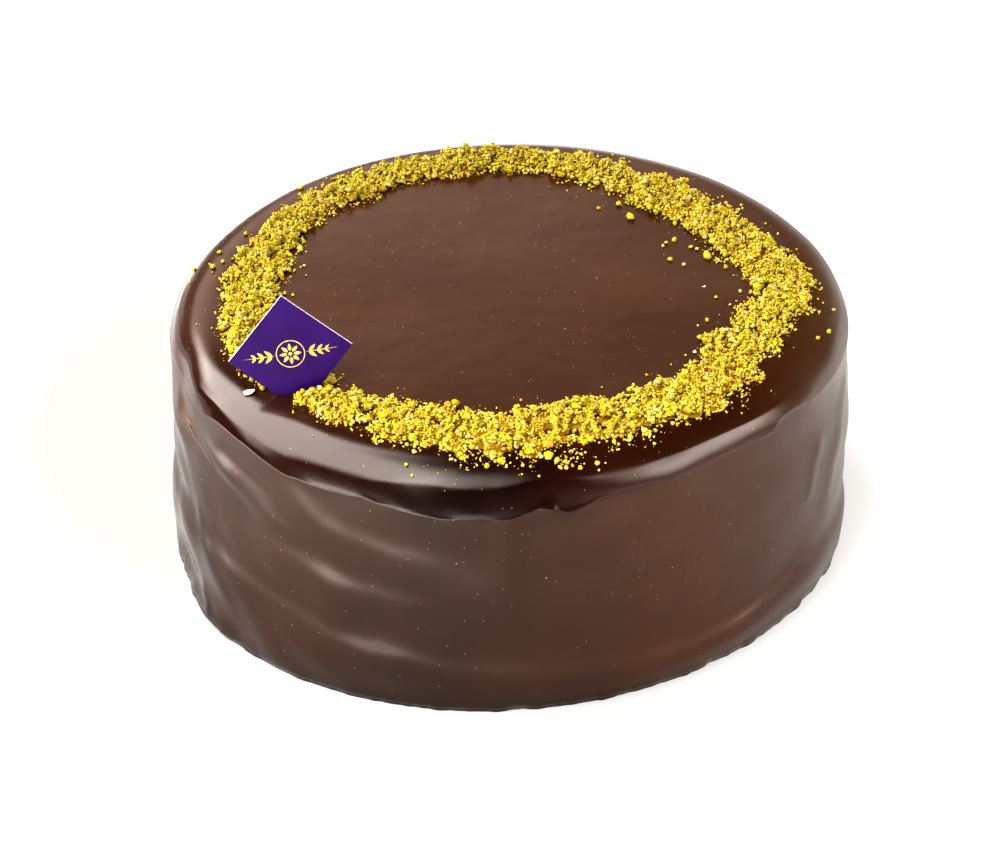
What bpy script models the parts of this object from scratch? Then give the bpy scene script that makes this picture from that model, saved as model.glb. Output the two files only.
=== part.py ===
"""A round chocolate-glazed cake with a ring of crushed pistachio and a small square card.

The cake stands on the floor: the origin is the centre of its underside, +Z is up and -Y is
its front. All lengths are in metres. The cake and its crumbs are one solid, and the card,
which stands on one corner in a slit in the glaze, is another.
"""

import math
import random

import bmesh
import bpy
from mathutils import Euler, Matrix, Vector, noise

MM = 0.001

# Driving dimensions
CAKE_RADIUS = 100 * MM
CAKE_HEIGHT = 81.6 * MM
CARD_SIDE = 25 * MM
CARD_THICKNESS = 0.7 * MM
CLEARANCE = 0.3 * MM

# The rounded shoulder between the flat top and the side
SHOULDER_REACH = 0.150 * CAKE_RADIUS
SHOULDER_DROP = 0.128 * CAKE_RADIUS
TOP_RADIUS = CAKE_RADIUS - SHOULDER_REACH
SIDE_TOP = CAKE_HEIGHT - SHOULDER_DROP

# The plan is a hand-made circle: slightly oval along one diagonal, and slightly three-lobed.
# The shift brings the middle of its extents to the origin.
PLAN_OVAL = 0.0222
PLAN_OVAL_AXIS = 49
PLAN_LOBE = 0.011
PLAN_SHIFT = Vector((-0.98, 0, 0)) * MM

# The side is a little wider at its base, where it ends in an uneven foot
FOOT_HEIGHT = 2 * MM
FOOT_INSET = 0.5 * MM
FOOT_CHIPS = 0.9 * MM
SIDE_TAPER = 0.7 * MM

# The top of the bottom layer shows through the glaze as a step that climbs towards the left.
# Heights are in millimetres, at angles in degrees from +X towards +Y; 270 is the front.
LAYER_LINE = {20: 12.5, 70: 18, 120: 24, 165: 29, 217: 29, 241: 21, 272: 15.5, 311: 12.3}
# On the turned outline the step is at this height, before it follows its line
LAYER_LEVEL = 18 * MM
LAYER_STEP = 1.1 * MM
LAYER_STEP_WIDTH = 2.2 * MM
# A second ridge falls from the left shoulder to the middle of the front
RIDGE_LINE = {215: 73, 229: 67.5, 241: 56, 256: 50.5, 275: 46}
RIDGE_HEIGHT = 0.9 * MM
RIDGE_WIDTH = 3.0 * MM
# The glaze of the top hangs over the side as a bead along the front right
LIP_LINE = {266: 64, 280: 68, 295: 70.5, 315: 71, 332: 72.5, 345: 70}
LIP_HEIGHT = 1.2 * MM
LIP_WIDTH = 2.6 * MM

# Dents and swells of the side: (angle, height in mm, half angle, half height in mm, depth in mm)
SWELLS = (
    (352, 42, 16, 17, 1.5),
    (199, 9, 9, 8, -2.4),
    (188, 33, 14, 4, -1.2),
    (206, 62, 5, 9, -1.0),
    (262, 36, 22, 12, 0.7),
    (228, 46, 14, 8, -0.6),
    (300, 38, 18, 20, 0.5),
    (100, 45, 30, 15, 0.9),
    (60, 30, 20, 10, -0.8),
    (145, 55, 18, 9, -0.8),
    (20, 60, 14, 8, -0.6),
)
WAVE_SIZE = 26 * MM
WAVE_HEIGHT = 0.7 * MM
TOP_WAVE_SIZE = 55 * MM
TOP_WAVE_HEIGHT = 0.35 * MM

# The ring of crushed pistachio: a low bed of bumps, with the largest crumbs on it. It wanders:
# these are the radii of its inner and its outer edge, in millimetres at angles in degrees.
RING_INNER = {
    0: 71.5, 15: 64.5, 30: 62, 45: 60.5, 60: 64.5, 75: 67, 90: 68.4, 105: 69.7, 120: 68.3,
    150: 69, 165: 66.2, 180: 66.6, 195: 68, 225: 69, 240: 68.7, 255: 67.6, 285: 67.2,
    300: 69.3, 315: 70.3, 330: 66.1, 345: 68.4,
}
RING_OUTER = {
    0: 91, 15: 85.5, 30: 82.3, 60: 83, 75: 84.8, 90: 85, 105: 83.8, 120: 84.6, 135: 84.8,
    150: 83, 165: 84.2, 180: 85.2, 195: 86.9, 225: 87.5, 240: 87.7, 255: 90.5, 270: 94,
    285: 95.5, 300: 92.6, 315: 93, 330: 87.7, 345: 86.5,
}
BED_HEIGHT = 1.1 * MM
BED_BUMP = 2.2 * MM
BED_BUMP_SIZE = 4.3 * MM
CRUMB_TRIES = 380
CRUMB_SMALLEST = 2.3 * MM
CRUMB_LARGEST = 4.3 * MM
CRUMB_SINK = 0.25
CRUMB_RAGGED = 0.22
CRUMB_SEGMENTS = 5
CRUMB_SEED = 11
# Steps of this share of a turn, and of its square across the ring, spread crumbs evenly
EVEN_TURN = 0.7548776662
# The glaze is bare where the card stands, and in front of it at its left
CARD_FOOT = Vector((-58.6, -60.2, 0)) * MM
CARD_FOOT_REACH = 9 * MM
CARD_FOOT_ROOM = 2.2 * MM
BARE_CORNER = Vector((-55.0, -55.5, 0)) * MM

# The card: one corner is pushed into the glaze, and it leans back a little
CARD_CENTRE = Vector((-60.8, -58.1, 93.5)) * MM
CARD_LEAN = math.radians(8.8)
CARD_TURN = math.radians(2.7)
CARD_ROLL = math.radians(7.3)

# Mesh resolution: rings lie close together in the bed, on the shoulder and high on the side
STEPS = 104
MIDDLE_RING = 0.35 * CAKE_RADIUS
BED_INNER_RING = 59 * MM
BED_RINGS = 9
SHOULDER_RINGS = 4
SIDE_RINGS = 6
SIDE_RINGS_CROWDING = 1.3

# Colours, and the place of the pistachio among the cake's materials
PISTACHIO_SLOT = 1
GLAZE_COLOUR = (0.030, 0.012, 0.006, 1)
PISTACHIO_COLOUR = (0.72, 0.55, 0.05, 1)
CARD_COLOUR = (0.065, 0.012, 0.17, 1)


def around(line, angle):
    """The height on a closed smooth curve through line's points, at an angle in degrees."""
    angles = sorted(line)
    count = len(angles)
    angle %= 360
    after = next((i for i, a in enumerate(angles) if a > angle), 0)
    stops = [(after + k) % count for k in (-2, -1, 0, 1)]
    values = [line[angles[i]] for i in stops]
    turns = [angles[i] for i in stops]
    spans = [(b - a) % 360 for a, b in zip(turns, turns[1:])]
    share = ((angle - turns[1]) % 360) / spans[1]
    slope_in = (values[2] - values[0]) / (spans[0] + spans[1]) * spans[1]
    slope_out = (values[3] - values[1]) / (spans[1] + spans[2]) * spans[1]
    s2 = share * share
    s3 = s2 * share
    return (
        (2 * s3 - 3 * s2 + 1) * values[1]
        + (s3 - 2 * s2 + share) * slope_in
        + (3 * s2 - 2 * s3) * values[2]
        + (s3 - s2) * slope_out
    )


def smooth(value, low, high):
    """0 at low and 1 at high, with an even slope between."""
    share = min(1.0, max(0.0, (value - low) / (high - low)))
    return share * share * (3 - 2 * share)


def bump(offset, width):
    """A rounded hump that is 1 at its middle."""
    return math.exp(-((offset / width) ** 2))


def angle_between(a, b):
    """The signed turn from b to a in degrees, from -180 to 180."""
    return (a - b + 180) % 360 - 180


def open_ended(line, angle):
    """1 along an open line's own angles, fading to 0 past its two ends."""
    fade = 8
    low, high = min(line), max(line)
    return smooth(angle, low - fade, low + fade) * (1 - smooth(angle, high - fade, high + fade))


def plan_scale(angle):
    """How far the outline stands out from a true circle, at an angle in degrees."""
    oval = PLAN_OVAL * math.cos(2 * math.radians(angle - PLAN_OVAL_AXIS))
    return 1 + oval + PLAN_LOBE * math.cos(3 * math.radians(angle))


def side_relief(angle, z):
    """How far the glaze of the side stands out at an angle in degrees and a height."""
    turn = math.radians(angle)
    height = z / MM
    layer = around(LAYER_LINE, angle) * MM
    relief = LAYER_STEP * (0.5 - 0.5 * math.tanh((z - layer) / LAYER_STEP_WIDTH))
    relief *= smooth(z, 0, 0.7 * layer)
    ridge = around(RIDGE_LINE, angle) * MM
    relief += RIDGE_HEIGHT * bump(z - ridge, RIDGE_WIDTH) * open_ended(RIDGE_LINE, angle)
    lip = around(LIP_LINE, angle) * MM
    relief += LIP_HEIGHT * bump(z - lip - LIP_WIDTH, LIP_WIDTH) * open_ended(LIP_LINE, angle)
    for middle, level, half_angle, half_height, depth in SWELLS:
        across = bump(angle_between(angle, middle), half_angle)
        relief += depth * MM * across * bump(height - level, half_height)
    around_cake = Vector((math.cos(turn), math.sin(turn), 0)) * CAKE_RADIUS / WAVE_SIZE
    relief += WAVE_HEIGHT * noise.noise(around_cake + Vector((0, 0, 2 * z / WAVE_SIZE)))
    chips = noise.noise(Vector((math.cos(turn), math.sin(turn), 0)) * 14)
    relief += FOOT_CHIPS * chips * (1 - smooth(z, 0, 3 * FOOT_HEIGHT))
    return relief + SIDE_TAPER * (0.5 - z / CAKE_HEIGHT)


def on_plan(radius, angle):
    """The place on the floor plan of a radius and an angle of the round cake."""
    turn = math.radians(angle)
    return Vector((math.cos(turn), math.sin(turn), 0)) * radius * plan_scale(angle)


def room_at_card(place, room):
    """How far a place lies clear of the card's foot and of the bare corner before it."""
    off = place - CARD_FOOT
    along = max(0.0, abs(off.x) - CARD_FOOT_REACH)
    beside = math.hypot(along, off.y) - room
    corner = max(place.x - BARE_CORNER.x, place.y - BARE_CORNER.y)
    return min(beside, corner)


def ring_edges(angle):
    """Radii of the pistachio ring's inner and outer edge, at an angle in degrees."""
    return around(RING_INNER, angle) * MM, around(RING_OUTER, angle) * MM


def bed_share(radius, angle):
    """1 in the middle of the pistachio ring and 0 beyond its edges."""
    inner, outer = ring_edges(angle)
    off = abs(2 * radius - inner - outer) / (outer - inner)
    inside = 1 - smooth(off, 0.55, 1)
    return inside * smooth(room_at_card(on_plan(radius, angle), CARD_FOOT_ROOM), 0, 2 * MM)


def top_relief(radius, angle):
    """How far the top stands up: its slow waves and the bumps of the pistachio bed."""
    turn = math.radians(angle)
    place = Vector((math.cos(turn), math.sin(turn), 0)) * radius
    waves = TOP_WAVE_HEIGHT * noise.noise(place / TOP_WAVE_SIZE)
    bumps = BED_HEIGHT + BED_BUMP * noise.noise(place / BED_BUMP_SIZE)
    return waves + bumps * bed_share(radius, angle)


def shoulder_point(share):
    """Radius and height on the shoulder, from 0 at the flat top to 1 at the side."""
    turn = share * math.pi / 2
    return TOP_RADIUS + SHOULDER_REACH * math.sin(turn), SIDE_TOP + SHOULDER_DROP * math.cos(turn)


def outline():
    """Radius and height of each ring of the turned cake, from the top's centre to the base's."""
    rings = [(0, CAKE_HEIGHT), (MIDDLE_RING, CAKE_HEIGHT)]
    for i in range(BED_RINGS):
        share = i / (BED_RINGS - 1)
        rings.append((BED_INNER_RING + (TOP_RADIUS - BED_INNER_RING) * share, CAKE_HEIGHT))
    rings += [shoulder_point(i / SHOULDER_RINGS) for i in range(1, SHOULDER_RINGS + 1)]
    above, below = LAYER_LEVEL + LAYER_STEP_WIDTH, LAYER_LEVEL - LAYER_STEP_WIDTH / 2
    for i in range(1, SIDE_RINGS + 1):
        share = (i / SIDE_RINGS) ** SIDE_RINGS_CROWDING
        rings.append((CAKE_RADIUS, SIDE_TOP + (above - SIDE_TOP) * share))
    for z in (LAYER_LEVEL + 0.4 * LAYER_STEP_WIDTH, below, (below + FOOT_HEIGHT) / 2):
        rings.append((CAKE_RADIUS, z))
    foot = [(CAKE_RADIUS, FOOT_HEIGHT), (CAKE_RADIUS - FOOT_INSET, 0), (0, 0)]
    return rings + foot


def follow_layer(z, angle):
    """Moves a height on the side so that one ring of the mesh runs along the layer line."""
    layer = around(LAYER_LINE, angle) * MM
    if z <= FOOT_HEIGHT or z >= SIDE_TOP:
        return z
    if z < LAYER_LEVEL:
        return FOOT_HEIGHT + (z - FOOT_HEIGHT) * (layer - FOOT_HEIGHT) / (LAYER_LEVEL - FOOT_HEIGHT)
    return layer + (z - LAYER_LEVEL) * (SIDE_TOP - layer) / (SIDE_TOP - LAYER_LEVEL)


def glazed(point):
    """Moves a point of the turned cake to its place on the uneven hand-made one."""
    radius = math.hypot(point.x, point.y)
    angle = math.degrees(math.atan2(point.y, point.x)) % 360
    z = follow_layer(point.z, angle)
    steep = smooth(radius, TOP_RADIUS, CAKE_RADIUS) if z > SIDE_TOP else 1.0
    if z < FOOT_HEIGHT / 2:
        steep *= smooth(radius, 0.5 * CAKE_RADIUS, CAKE_RADIUS - FOOT_INSET)
    upright = 1 - steep
    out = radius * plan_scale(angle) + side_relief(angle, z) * steep
    if z > SIDE_TOP:
        z += top_relief(radius, angle) * upright
    turn = math.radians(angle)
    return Vector((out * math.cos(turn), out * math.sin(turn), z)) + PLAN_SHIFT


def top_height(radius, angle):
    """Height of the cake's surface under a crumb."""
    z = CAKE_HEIGHT
    if radius > TOP_RADIUS:
        reach = min(1.0, (radius - TOP_RADIUS) / SHOULDER_REACH)
        z = SIDE_TOP + SHOULDER_DROP * math.sqrt(1 - reach * reach)
    return z + top_relief(radius, angle) * (1 - smooth(radius, TOP_RADIUS, CAKE_RADIUS))


def material(name, colour, roughness):
    """A plain Principled material, in the object's own colour."""
    made = bpy.data.materials.new(name)
    made.use_nodes = True
    shader = made.node_tree.nodes["Principled BSDF"]
    shader.inputs["Base Color"].default_value = colour
    shader.inputs["Roughness"].default_value = roughness
    shader.inputs["Metallic"].default_value = 0
    return made


def link(name, mesh, collection, *materials):
    """A new object for a mesh, in a collection."""
    made = bpy.data.objects.new(name, mesh)
    for each in materials:
        mesh.materials.append(each)
    collection.objects.link(made)
    return made


def apply_modifiers(thing):
    """Keeps what an object's modifiers make, and removes them."""
    graph = bpy.context.evaluated_depsgraph_get()
    mesh = bpy.data.meshes.new_from_object(thing.evaluated_get(graph))
    thing.modifiers.clear()
    thing.data = mesh


def boolean(thing, operation, solver, **operand):
    """Joins or cuts an object with another object or a collection, at once."""
    step = thing.modifiers.new(operation.title(), "BOOLEAN")
    step.operation = operation
    step.solver = solver
    for key, value in operand.items():
        setattr(step, key, value)
    apply_modifiers(thing)


def turned_cake(parts, glaze, pistachio):
    """The cake: a turned outline, pushed out of round, with the bed of the pistachio ring."""
    mesh = bpy.data.meshes.new("cake")
    rings = [Vector((radius, 0, z)) for radius, z in outline()]
    mesh.from_pydata(rings, [(i, i + 1) for i in range(len(rings) - 1)], [])
    cake = link("cake", mesh, parts, glaze, pistachio)
    screw = cake.modifiers.new("Turn", "SCREW")
    screw.steps = STEPS
    screw.render_steps = STEPS
    screw.use_merge_vertices = True
    screw.merge_threshold = 0.01 * MM
    screw.use_smooth_shade = True
    apply_modifiers(cake)
    for vertex in cake.data.vertices:
        vertex.co = glazed(vertex.co)
    for face in cake.data.polygons:
        x, y, z = face.center
        x, y = x - PLAN_SHIFT.x, y - PLAN_SHIFT.y
        angle = math.degrees(math.atan2(y, x)) % 360
        radius = math.hypot(x, y) / plan_scale(angle)
        if z > SIDE_TOP and bed_share(radius, angle) > 0.4:
            face.material_index = PISTACHIO_SLOT
    return cake


def crumb_places():
    """Angle, radius and size of each large crumb, the largest first, spread evenly."""
    draw = random.Random(CRUMB_SEED)
    places, laid = [], []
    for i in range(CRUMB_TRIES):
        angle = (360 * EVEN_TURN * i + draw.uniform(-1.5, 1.5)) % 360
        across = (EVEN_TURN * EVEN_TURN * i % 1 * 2 - 1) * draw.uniform(0.8, 1.0)
        size = CRUMB_LARGEST + (CRUMB_SMALLEST - CRUMB_LARGEST) * (i / CRUMB_TRIES) ** 0.6
        inner, outer = ring_edges(angle)
        radius = (inner + outer) / 2 + across * ((outer - inner) / 2 - 0.3 * size)
        place = on_plan(radius, angle)
        clear = all((place - other).length > 0.5 * (size + wide) for other, wide in laid)
        if clear and room_at_card(place, CARD_FOOT_ROOM + 0.6 * size) > 0:
            places.append((angle, radius, size))
            laid.append((place, size))
    return places


def crumb(name, angle, radius, size, draw, materials):
    """One broken piece of nut: a small ragged ball, sunk a little into what it lies on."""
    shape = bmesh.new()
    bmesh.ops.create_uvsphere(shape, u_segments=CRUMB_SEGMENTS, v_segments=2, radius=size / 2)
    for vertex in shape.verts:
        vertex.co *= 1 + draw.uniform(-CRUMB_RAGGED, CRUMB_RAGGED)
    turn = Euler([draw.uniform(0, 2 * math.pi) for _ in range(3)]).to_matrix()
    flat = Matrix.Diagonal((1, 1, draw.uniform(0.65, 0.9)))
    bmesh.ops.transform(shape, matrix=(flat @ turn).to_4x4(), verts=shape.verts)
    mesh = bpy.data.meshes.new(name)
    shape.to_mesh(mesh)
    shape.free()
    for face in mesh.polygons:
        face.material_index = PISTACHIO_SLOT
    lowest = min(vertex.co.z for vertex in mesh.vertices)
    level = top_height(radius, angle) - lowest - CRUMB_SINK * size
    made = bpy.data.objects.new(name, mesh)
    made.location = on_plan(radius, angle) + Vector((0, 0, level)) + PLAN_SHIFT
    for each in materials:
        mesh.materials.append(each)
    return made


def scatter_crumbs(cake, materials):
    """Fuses the large crumbs to the cake with one union."""
    draw = random.Random(CRUMB_SEED + 1)
    crumbs = bpy.data.collections.new("crumbs")
    bpy.context.scene.collection.children.link(crumbs)
    for number, (angle, radius, size) in enumerate(crumb_places()):
        crumbs.objects.link(
            crumb(f"crumb_{number}", angle, radius, size, draw, materials)
        )
    boolean(cake, "UNION", "MANIFOLD", operand_type="COLLECTION", collection=crumbs)
    for each in list(crumbs.objects):
        bpy.data.objects.remove(each)
    bpy.data.collections.remove(crumbs)


def drop_scraps(thing):
    """Keeps the largest body of a mesh, without loose scraps and sealed hollows."""
    shape = bmesh.new()
    shape.from_mesh(thing.data)
    left = set(shape.verts)
    bodies = []
    while left:
        waiting = [left.pop()]
        body = list(waiting)
        while waiting:
            vertex = waiting.pop()
            near = [edge.other_vert(vertex) for edge in vertex.link_edges]
            found = [other for other in near if other in left]
            left.difference_update(found)
            body.extend(found)
            waiting.extend(found)
        bodies.append(body)
    bodies.sort(key=len)
    for body in bodies[:-1]:
        bmesh.ops.delete(shape, geom=body, context="VERTS")
    shape.to_mesh(thing.data)
    shape.free()


def card_block(name, side, thickness, collection, *materials):
    """A square plate that stands on one corner, where the card stands."""
    bpy.ops.mesh.primitive_cube_add(size=1)
    block = bpy.context.object
    block.name = name
    block.data.name = name
    for owner in list(block.users_collection):
        owner.objects.unlink(block)
    collection.objects.link(block)
    on_corner = Matrix.Rotation(math.radians(45) - CARD_ROLL, 4, "Y")
    block.data.transform(on_corner @ Matrix.Diagonal((side, thickness, side, 1)))
    block.location = CARD_CENTRE + PLAN_SHIFT
    block.rotation_euler = (-CARD_LEAN, 0, CARD_TURN)
    for each in materials:
        block.data.materials.append(each)
    return block


def cut_slit(cake, cutters):
    """Opens the slit in the glaze that the card's corner stands in."""
    cutter = card_block(
        "slit", CARD_SIDE + 2 * CLEARANCE, CARD_THICKNESS + 2 * CLEARANCE, cutters
    )
    cutter.hide_render = True
    cutter.display_type = "WIRE"
    boolean(cake, "DIFFERENCE", "EXACT", object=cutter)


def main():
    for each in list(bpy.data.objects):
        bpy.data.objects.remove(each)
    parts = bpy.data.collections.new("chocolate_cake")
    cutters = bpy.data.collections.new("cutters")
    bpy.context.scene.collection.children.link(parts)
    bpy.context.scene.collection.children.link(cutters)
    glaze = material("chocolate_glaze", GLAZE_COLOUR, 0.25)
    pistachio = material("crushed_pistachio", PISTACHIO_COLOUR, 0.8)
    paper = material("card_paper", CARD_COLOUR, 0.45)
    cake = turned_cake(parts, glaze, pistachio)
    scatter_crumbs(cake, (glaze, pistachio))
    cut_slit(cake, cutters)
    drop_scraps(cake)
    card_block("card", CARD_SIDE, CARD_THICKNESS, parts, paper)


main()
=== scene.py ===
"""Looks for the round chocolate cake with a ring of crushed pistachio and a small square card.

The glaze is a fine mesh over the form of the CAD cake, with the ridges, folds, lip and foot
of poured chocolate. The pistachio is a low bumpy bed with thousands of crumbs on it, in one
mesh for each kind. Lengths are in metres, angles in degrees from +X towards +Y, and the
front of the cake is at 270 degrees.
"""

import math
import random

import bmesh
import bpy
import numpy as np
from mathutils import Euler, Matrix, Vector, noise


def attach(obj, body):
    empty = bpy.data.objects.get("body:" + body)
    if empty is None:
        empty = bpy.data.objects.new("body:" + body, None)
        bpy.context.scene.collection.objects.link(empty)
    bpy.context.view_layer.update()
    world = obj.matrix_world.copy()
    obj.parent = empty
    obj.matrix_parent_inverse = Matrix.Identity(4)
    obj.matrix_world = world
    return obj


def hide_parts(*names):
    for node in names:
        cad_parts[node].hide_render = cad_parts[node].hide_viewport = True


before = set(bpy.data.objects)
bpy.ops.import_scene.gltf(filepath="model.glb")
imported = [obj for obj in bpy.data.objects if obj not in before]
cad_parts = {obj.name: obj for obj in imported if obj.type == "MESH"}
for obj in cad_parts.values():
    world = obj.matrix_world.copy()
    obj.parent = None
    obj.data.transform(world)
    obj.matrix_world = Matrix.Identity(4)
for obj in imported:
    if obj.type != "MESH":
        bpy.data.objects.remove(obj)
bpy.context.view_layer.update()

MM = 0.001

# ---------------------------------------------------------------- the cake's form, as in the CAD
CAKE_RADIUS = 100 * MM
CAKE_HEIGHT = 81.6 * MM
SHOULDER_REACH = 0.150 * CAKE_RADIUS
SHOULDER_DROP = 0.128 * CAKE_RADIUS
TOP_RADIUS = CAKE_RADIUS - SHOULDER_REACH
SIDE_TOP = CAKE_HEIGHT - SHOULDER_DROP
PLAN_OVAL = 0.0222
PLAN_OVAL_AXIS = 49
PLAN_LOBE = 0.011
PLAN_SHIFT = np.array([-0.98, 0, 0]) * MM
FOOT_HEIGHT = 2 * MM
FOOT_INSET = 0.5 * MM
FOOT_CHIPS = 0.8 * MM
SIDE_TAPER = 0.7 * MM
TOP_WAVE_SIZE = 55 * MM
TOP_WAVE_HEIGHT = 0.25 * MM
TOP_DOME = 0.6 * MM
WAVE_SIZE = 26 * MM
WAVE_HEIGHT = 0.7 * MM

# Most tables below give a value at angles in degrees, and a smooth closed curve runs through them.
# The height of the bottom layer's step in mm, then the step's width in mm and how deep it is as a
# share of LAYER_STEP
LAYER_LINE = {
    20: 12.5, 70: 18, 120: 24, 165: 28.5, 199: 28.6, 209: 28, 220: 28.2, 228: 26.2, 235.5: 23.8,
    241: 21.3, 253: 19.2, 260: 17.3, 267: 15.7, 273: 14.5, 290: 12.4, 309: 12.4, 325: 15.2,
    334: 16, 346: 13.5,
}
LAYER_STEP = 1.15 * MM
LAYER_STEP_WIDTH = {0: 2.4, 100: 3.0, 290: 3.0, 312: 2.0, 346: 2.0}
LAYER_STEP_SHARE = {
    0: 1.1, 150: 0.8, 205: 1.0, 222: 1.1, 235: 1.2, 255: 1.32, 268: 1.32, 280: 1.2, 291: 1.0,
    301: 1.1, 315: 1.58, 328: 1.6, 345: 1.3,
}
LAYER_WAVER = 0.6 * MM
LAYER_UNEVEN = 0.12
LAYER_WAVER_SIZE = 13 * MM
LAYER_UNEVEN_SIZE = 1.7 * LAYER_WAVER_SIZE
# The step fades out below this share of its height
LAYER_FADE = 0.7
# The glaze that came over from the top ends in a lip. These are the height of its lower edge
# and how far it stands out, both in mm. At the front it is a soft bulge, at the front right
# a bead with a sharp underside.
LIP_LINE = {
    0: 69.5, 40: 71, 80: 69.5, 120: 71, 160: 71, 198: 69.5, 205: 69.2, 211: 71, 217: 72.8,
    221.5: 72.3, 225: 71.8, 228: 70.6, 231: 69.6, 235: 68.8, 240: 68.3, 244: 68.4, 248: 68.7,
    252: 67.8, 256: 66.8, 260: 66.1, 266: 65.9, 271: 66.0, 273.6: 67.4, 275.8: 68.4, 278: 66.8,
    280: 66, 283: 67.6, 287: 68.8, 293: 69.4, 300: 70.2, 306: 70.8, 313: 70.9, 320.5: 70.8,
    323: 72.6, 326.5: 72.2, 331: 71.2, 337: 69.8,
}
LIP_OUT = {
    0: 0.4, 60: 0.4, 120: 0.4, 180: 0.3, 205: 0.3, 216: 0.12, 222: 0.15, 227: 0.4, 232: 0.65,
    244: 0.75, 250: 0.9, 256: 1.5, 270: 1.5, 280: 1.2, 288: 1.0, 312: 1.0, 326: 0.9, 340: 0.5,
}
# Over what height the lip fades above its edge, and below it, with the least value there, and
# the dip above the lip, all in mm
LIP_RISE = 4
LIP_FALL = {
    0: 6, 120: 6, 190: 2, 232: 1.5, 244: 4, 256: 14, 270: 14, 275: 6, 282: 3, 287: 0.5, 326: 0.5,
    340: 3,
}
LIP_LEAST_FALL = 0.5
LIP_DIP = {0: 0.1, 120: 0.1, 200: 0, 320: 0}
LIP_DIP_UP = 2 * LIP_RISE
LIP_DIP_REACH = 1.2 * LIP_RISE
# How round the lip is above its edge and below it, in mm, and how ragged its edge is, in mm
LIP_ROUND = {0: 1.5, 120: 1.5, 195: 0.4, 300: 0.4, 342: 1.5}
LIP_LEAST_ROUND = 0.3
LIP_SHARP = {
    0: 0.5, 232: 0.5, 244: 1.4, 252: 2.6, 268: 3, 277: 0.9, 286: 0.2, 324: 0.2, 334: 0.5,
}
LIP_RAGGED = {0: 0.5, 200: 0.4, 240: 0.5, 256: 0.8, 278: 0.8, 290: 0.45, 330: 0.4}
LIP_RAGGED_SIZE = 6 * MM
# From the left to the front right the lip is the end of an even slope, which runs up to a corner
# at the foot of the round shoulder. Its share, the even line that the lip wavers about, the
# corner's height in mm, how far the slope bellies out, how far the corner stands out of the round
# and over what height it fades, in mm, the least and the greatest slope, and its least height
SLOPE_SHARE = {0: 0, 170: 0, 184: 0, 196: 1, 204: 1, 320: 1, 328: 1, 342: 0}
LIP_BASE = {
    0: 69.5, 198: 69.5, 205: 69.3, 211: 71, 217: 72.5, 222: 72.2, 228: 70.7, 235: 68.9, 244: 68.3,
    250: 67.9, 256: 67, 264: 66.2, 272: 66.7, 280: 67.6, 290: 69.2, 300: 70.2, 310: 70.8, 320: 71,
    328: 71, 337: 69.8,
}
CORNER_LINE = {
    0: 74, 193: 73.9, 202: 74.5, 209: 74.5, 217: 75.3, 221: 74.9, 225: 74.1, 230: 73.3, 236: 72.9,
    243: 72.9, 248: 73.6, 252: 74.4, 256: 74.9, 259: 74.8, 263: 73.9, 267: 73.8, 271: 74.7,
    275: 76, 280: 75.6, 285: 74.2, 290: 73.4, 296: 74.6, 302: 75.3, 315: 75.5, 322: 75.2,
    328: 74.6, 340: 74,
}
CORNER_BELLY = {0: 0.1, 200: 0.08, 270: 0.12, 284: 0.15, 296: 0.27, 312: 0.26, 322: 0.14, 330: 0.1}
CORNER_PROUD = 0.35
CORNER_REACH = 2.4
SLOPES = (0.33, 0.5)
SLOPE_LEAST_TALL = 0.5

# Ridges, folds and creases of the side. Each runs through (angle, height in mm) points, and
# has a height and its reach above and below the path, in mm. It fades in over the first share
# of its length and out over the last.
STROKES = {
    "left ridge": (
        (
            (220, 71.5), (226, 69.3), (231, 67.2), (234, 64.8), (236.8, 59), (239.4, 55.5),
            (246.4, 53), (252, 51), (266, 48),
        ),
        0.78, 3.9, 5.5,
    ),
    "left groove": (((216, 66), (223, 63), (228, 60.5), (232, 57)), -0.5, 2.4, 2.4),
    "second flow": (((208, 65), (215, 61.5), (222, 57), (229, 52), (237, 47.5)), 0.6, 3.2, 4),
    "shoulder valley": (((228, 80.2), (235, 78.8), (241, 77.6), (248, 76.8)), -0.4, 0.9, 0.9),
    "middle ridge": (
        ((224, 47), (231, 42.5), (238, 39.5), (243, 37.4), (249, 36.4), (262, 34)), 0.62, 3.5, 5,
    ),
    "low flow": (((207, 38), (214, 24), (222, 12)), 0.5, 2.5, 4),
    "fold": (((204, 66), (209, 64), (214, 62), (219, 58.5), (223, 54)), 0.6, 2.8, 3),
    "fold crease": (((203.5, 63), (207, 60.8), (211.6, 59), (216.8, 55.6)), -0.6, 0.9, 0.9),
    "knob": (((275, 67), (278.5, 66.5)), 0.5, 2.2, 2.2),
    "foot drip": (((209, 11), (212, 6), (213, 2)), 0.5, 1.6, 1.6),
    "foot bead": (((201, 3), (207, 2.5), (213, 2), (222, 1.5)), 1.1, 2.0, 2.0),
    "right flute": (((356, 62), (348, 52), (342, 40), (340, 24)), 0.55, 4.4, 4.4),
    "small flute": (((338, 56), (334, 46), (332, 34)), 0.35, 3.0, 3.0),
    "back ridge": (((95, 58), (115, 50), (140, 46), (165, 41)), 0.6, 2.0, 5),
    "right ridge": (((40, 66), (58, 55), (80, 50)), 0.5, 2.0, 4),
}
STROKE_FADE_IN = (0, 0.2)
STROKE_FADE_OUT = (0.75, 1)
# Small wrinkles that slant down towards the front, mostly at the left. They fade out between
# these two heights over the lip's edge, in mm.
WRINKLE_SIZE = 8 * MM
WRINKLE_LENGTH = 1.9
WRINKLE_SLANT = math.radians(-38)
WRINKLE_HEIGHT = {0: 0.06, 90: 0.1, 180: 0.2, 215: 0.5, 240: 0.44, 255: 0.28, 275: 0.18, 330: 0.16}
WRINKLE_ENDS = (-1, 1.5)

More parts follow.
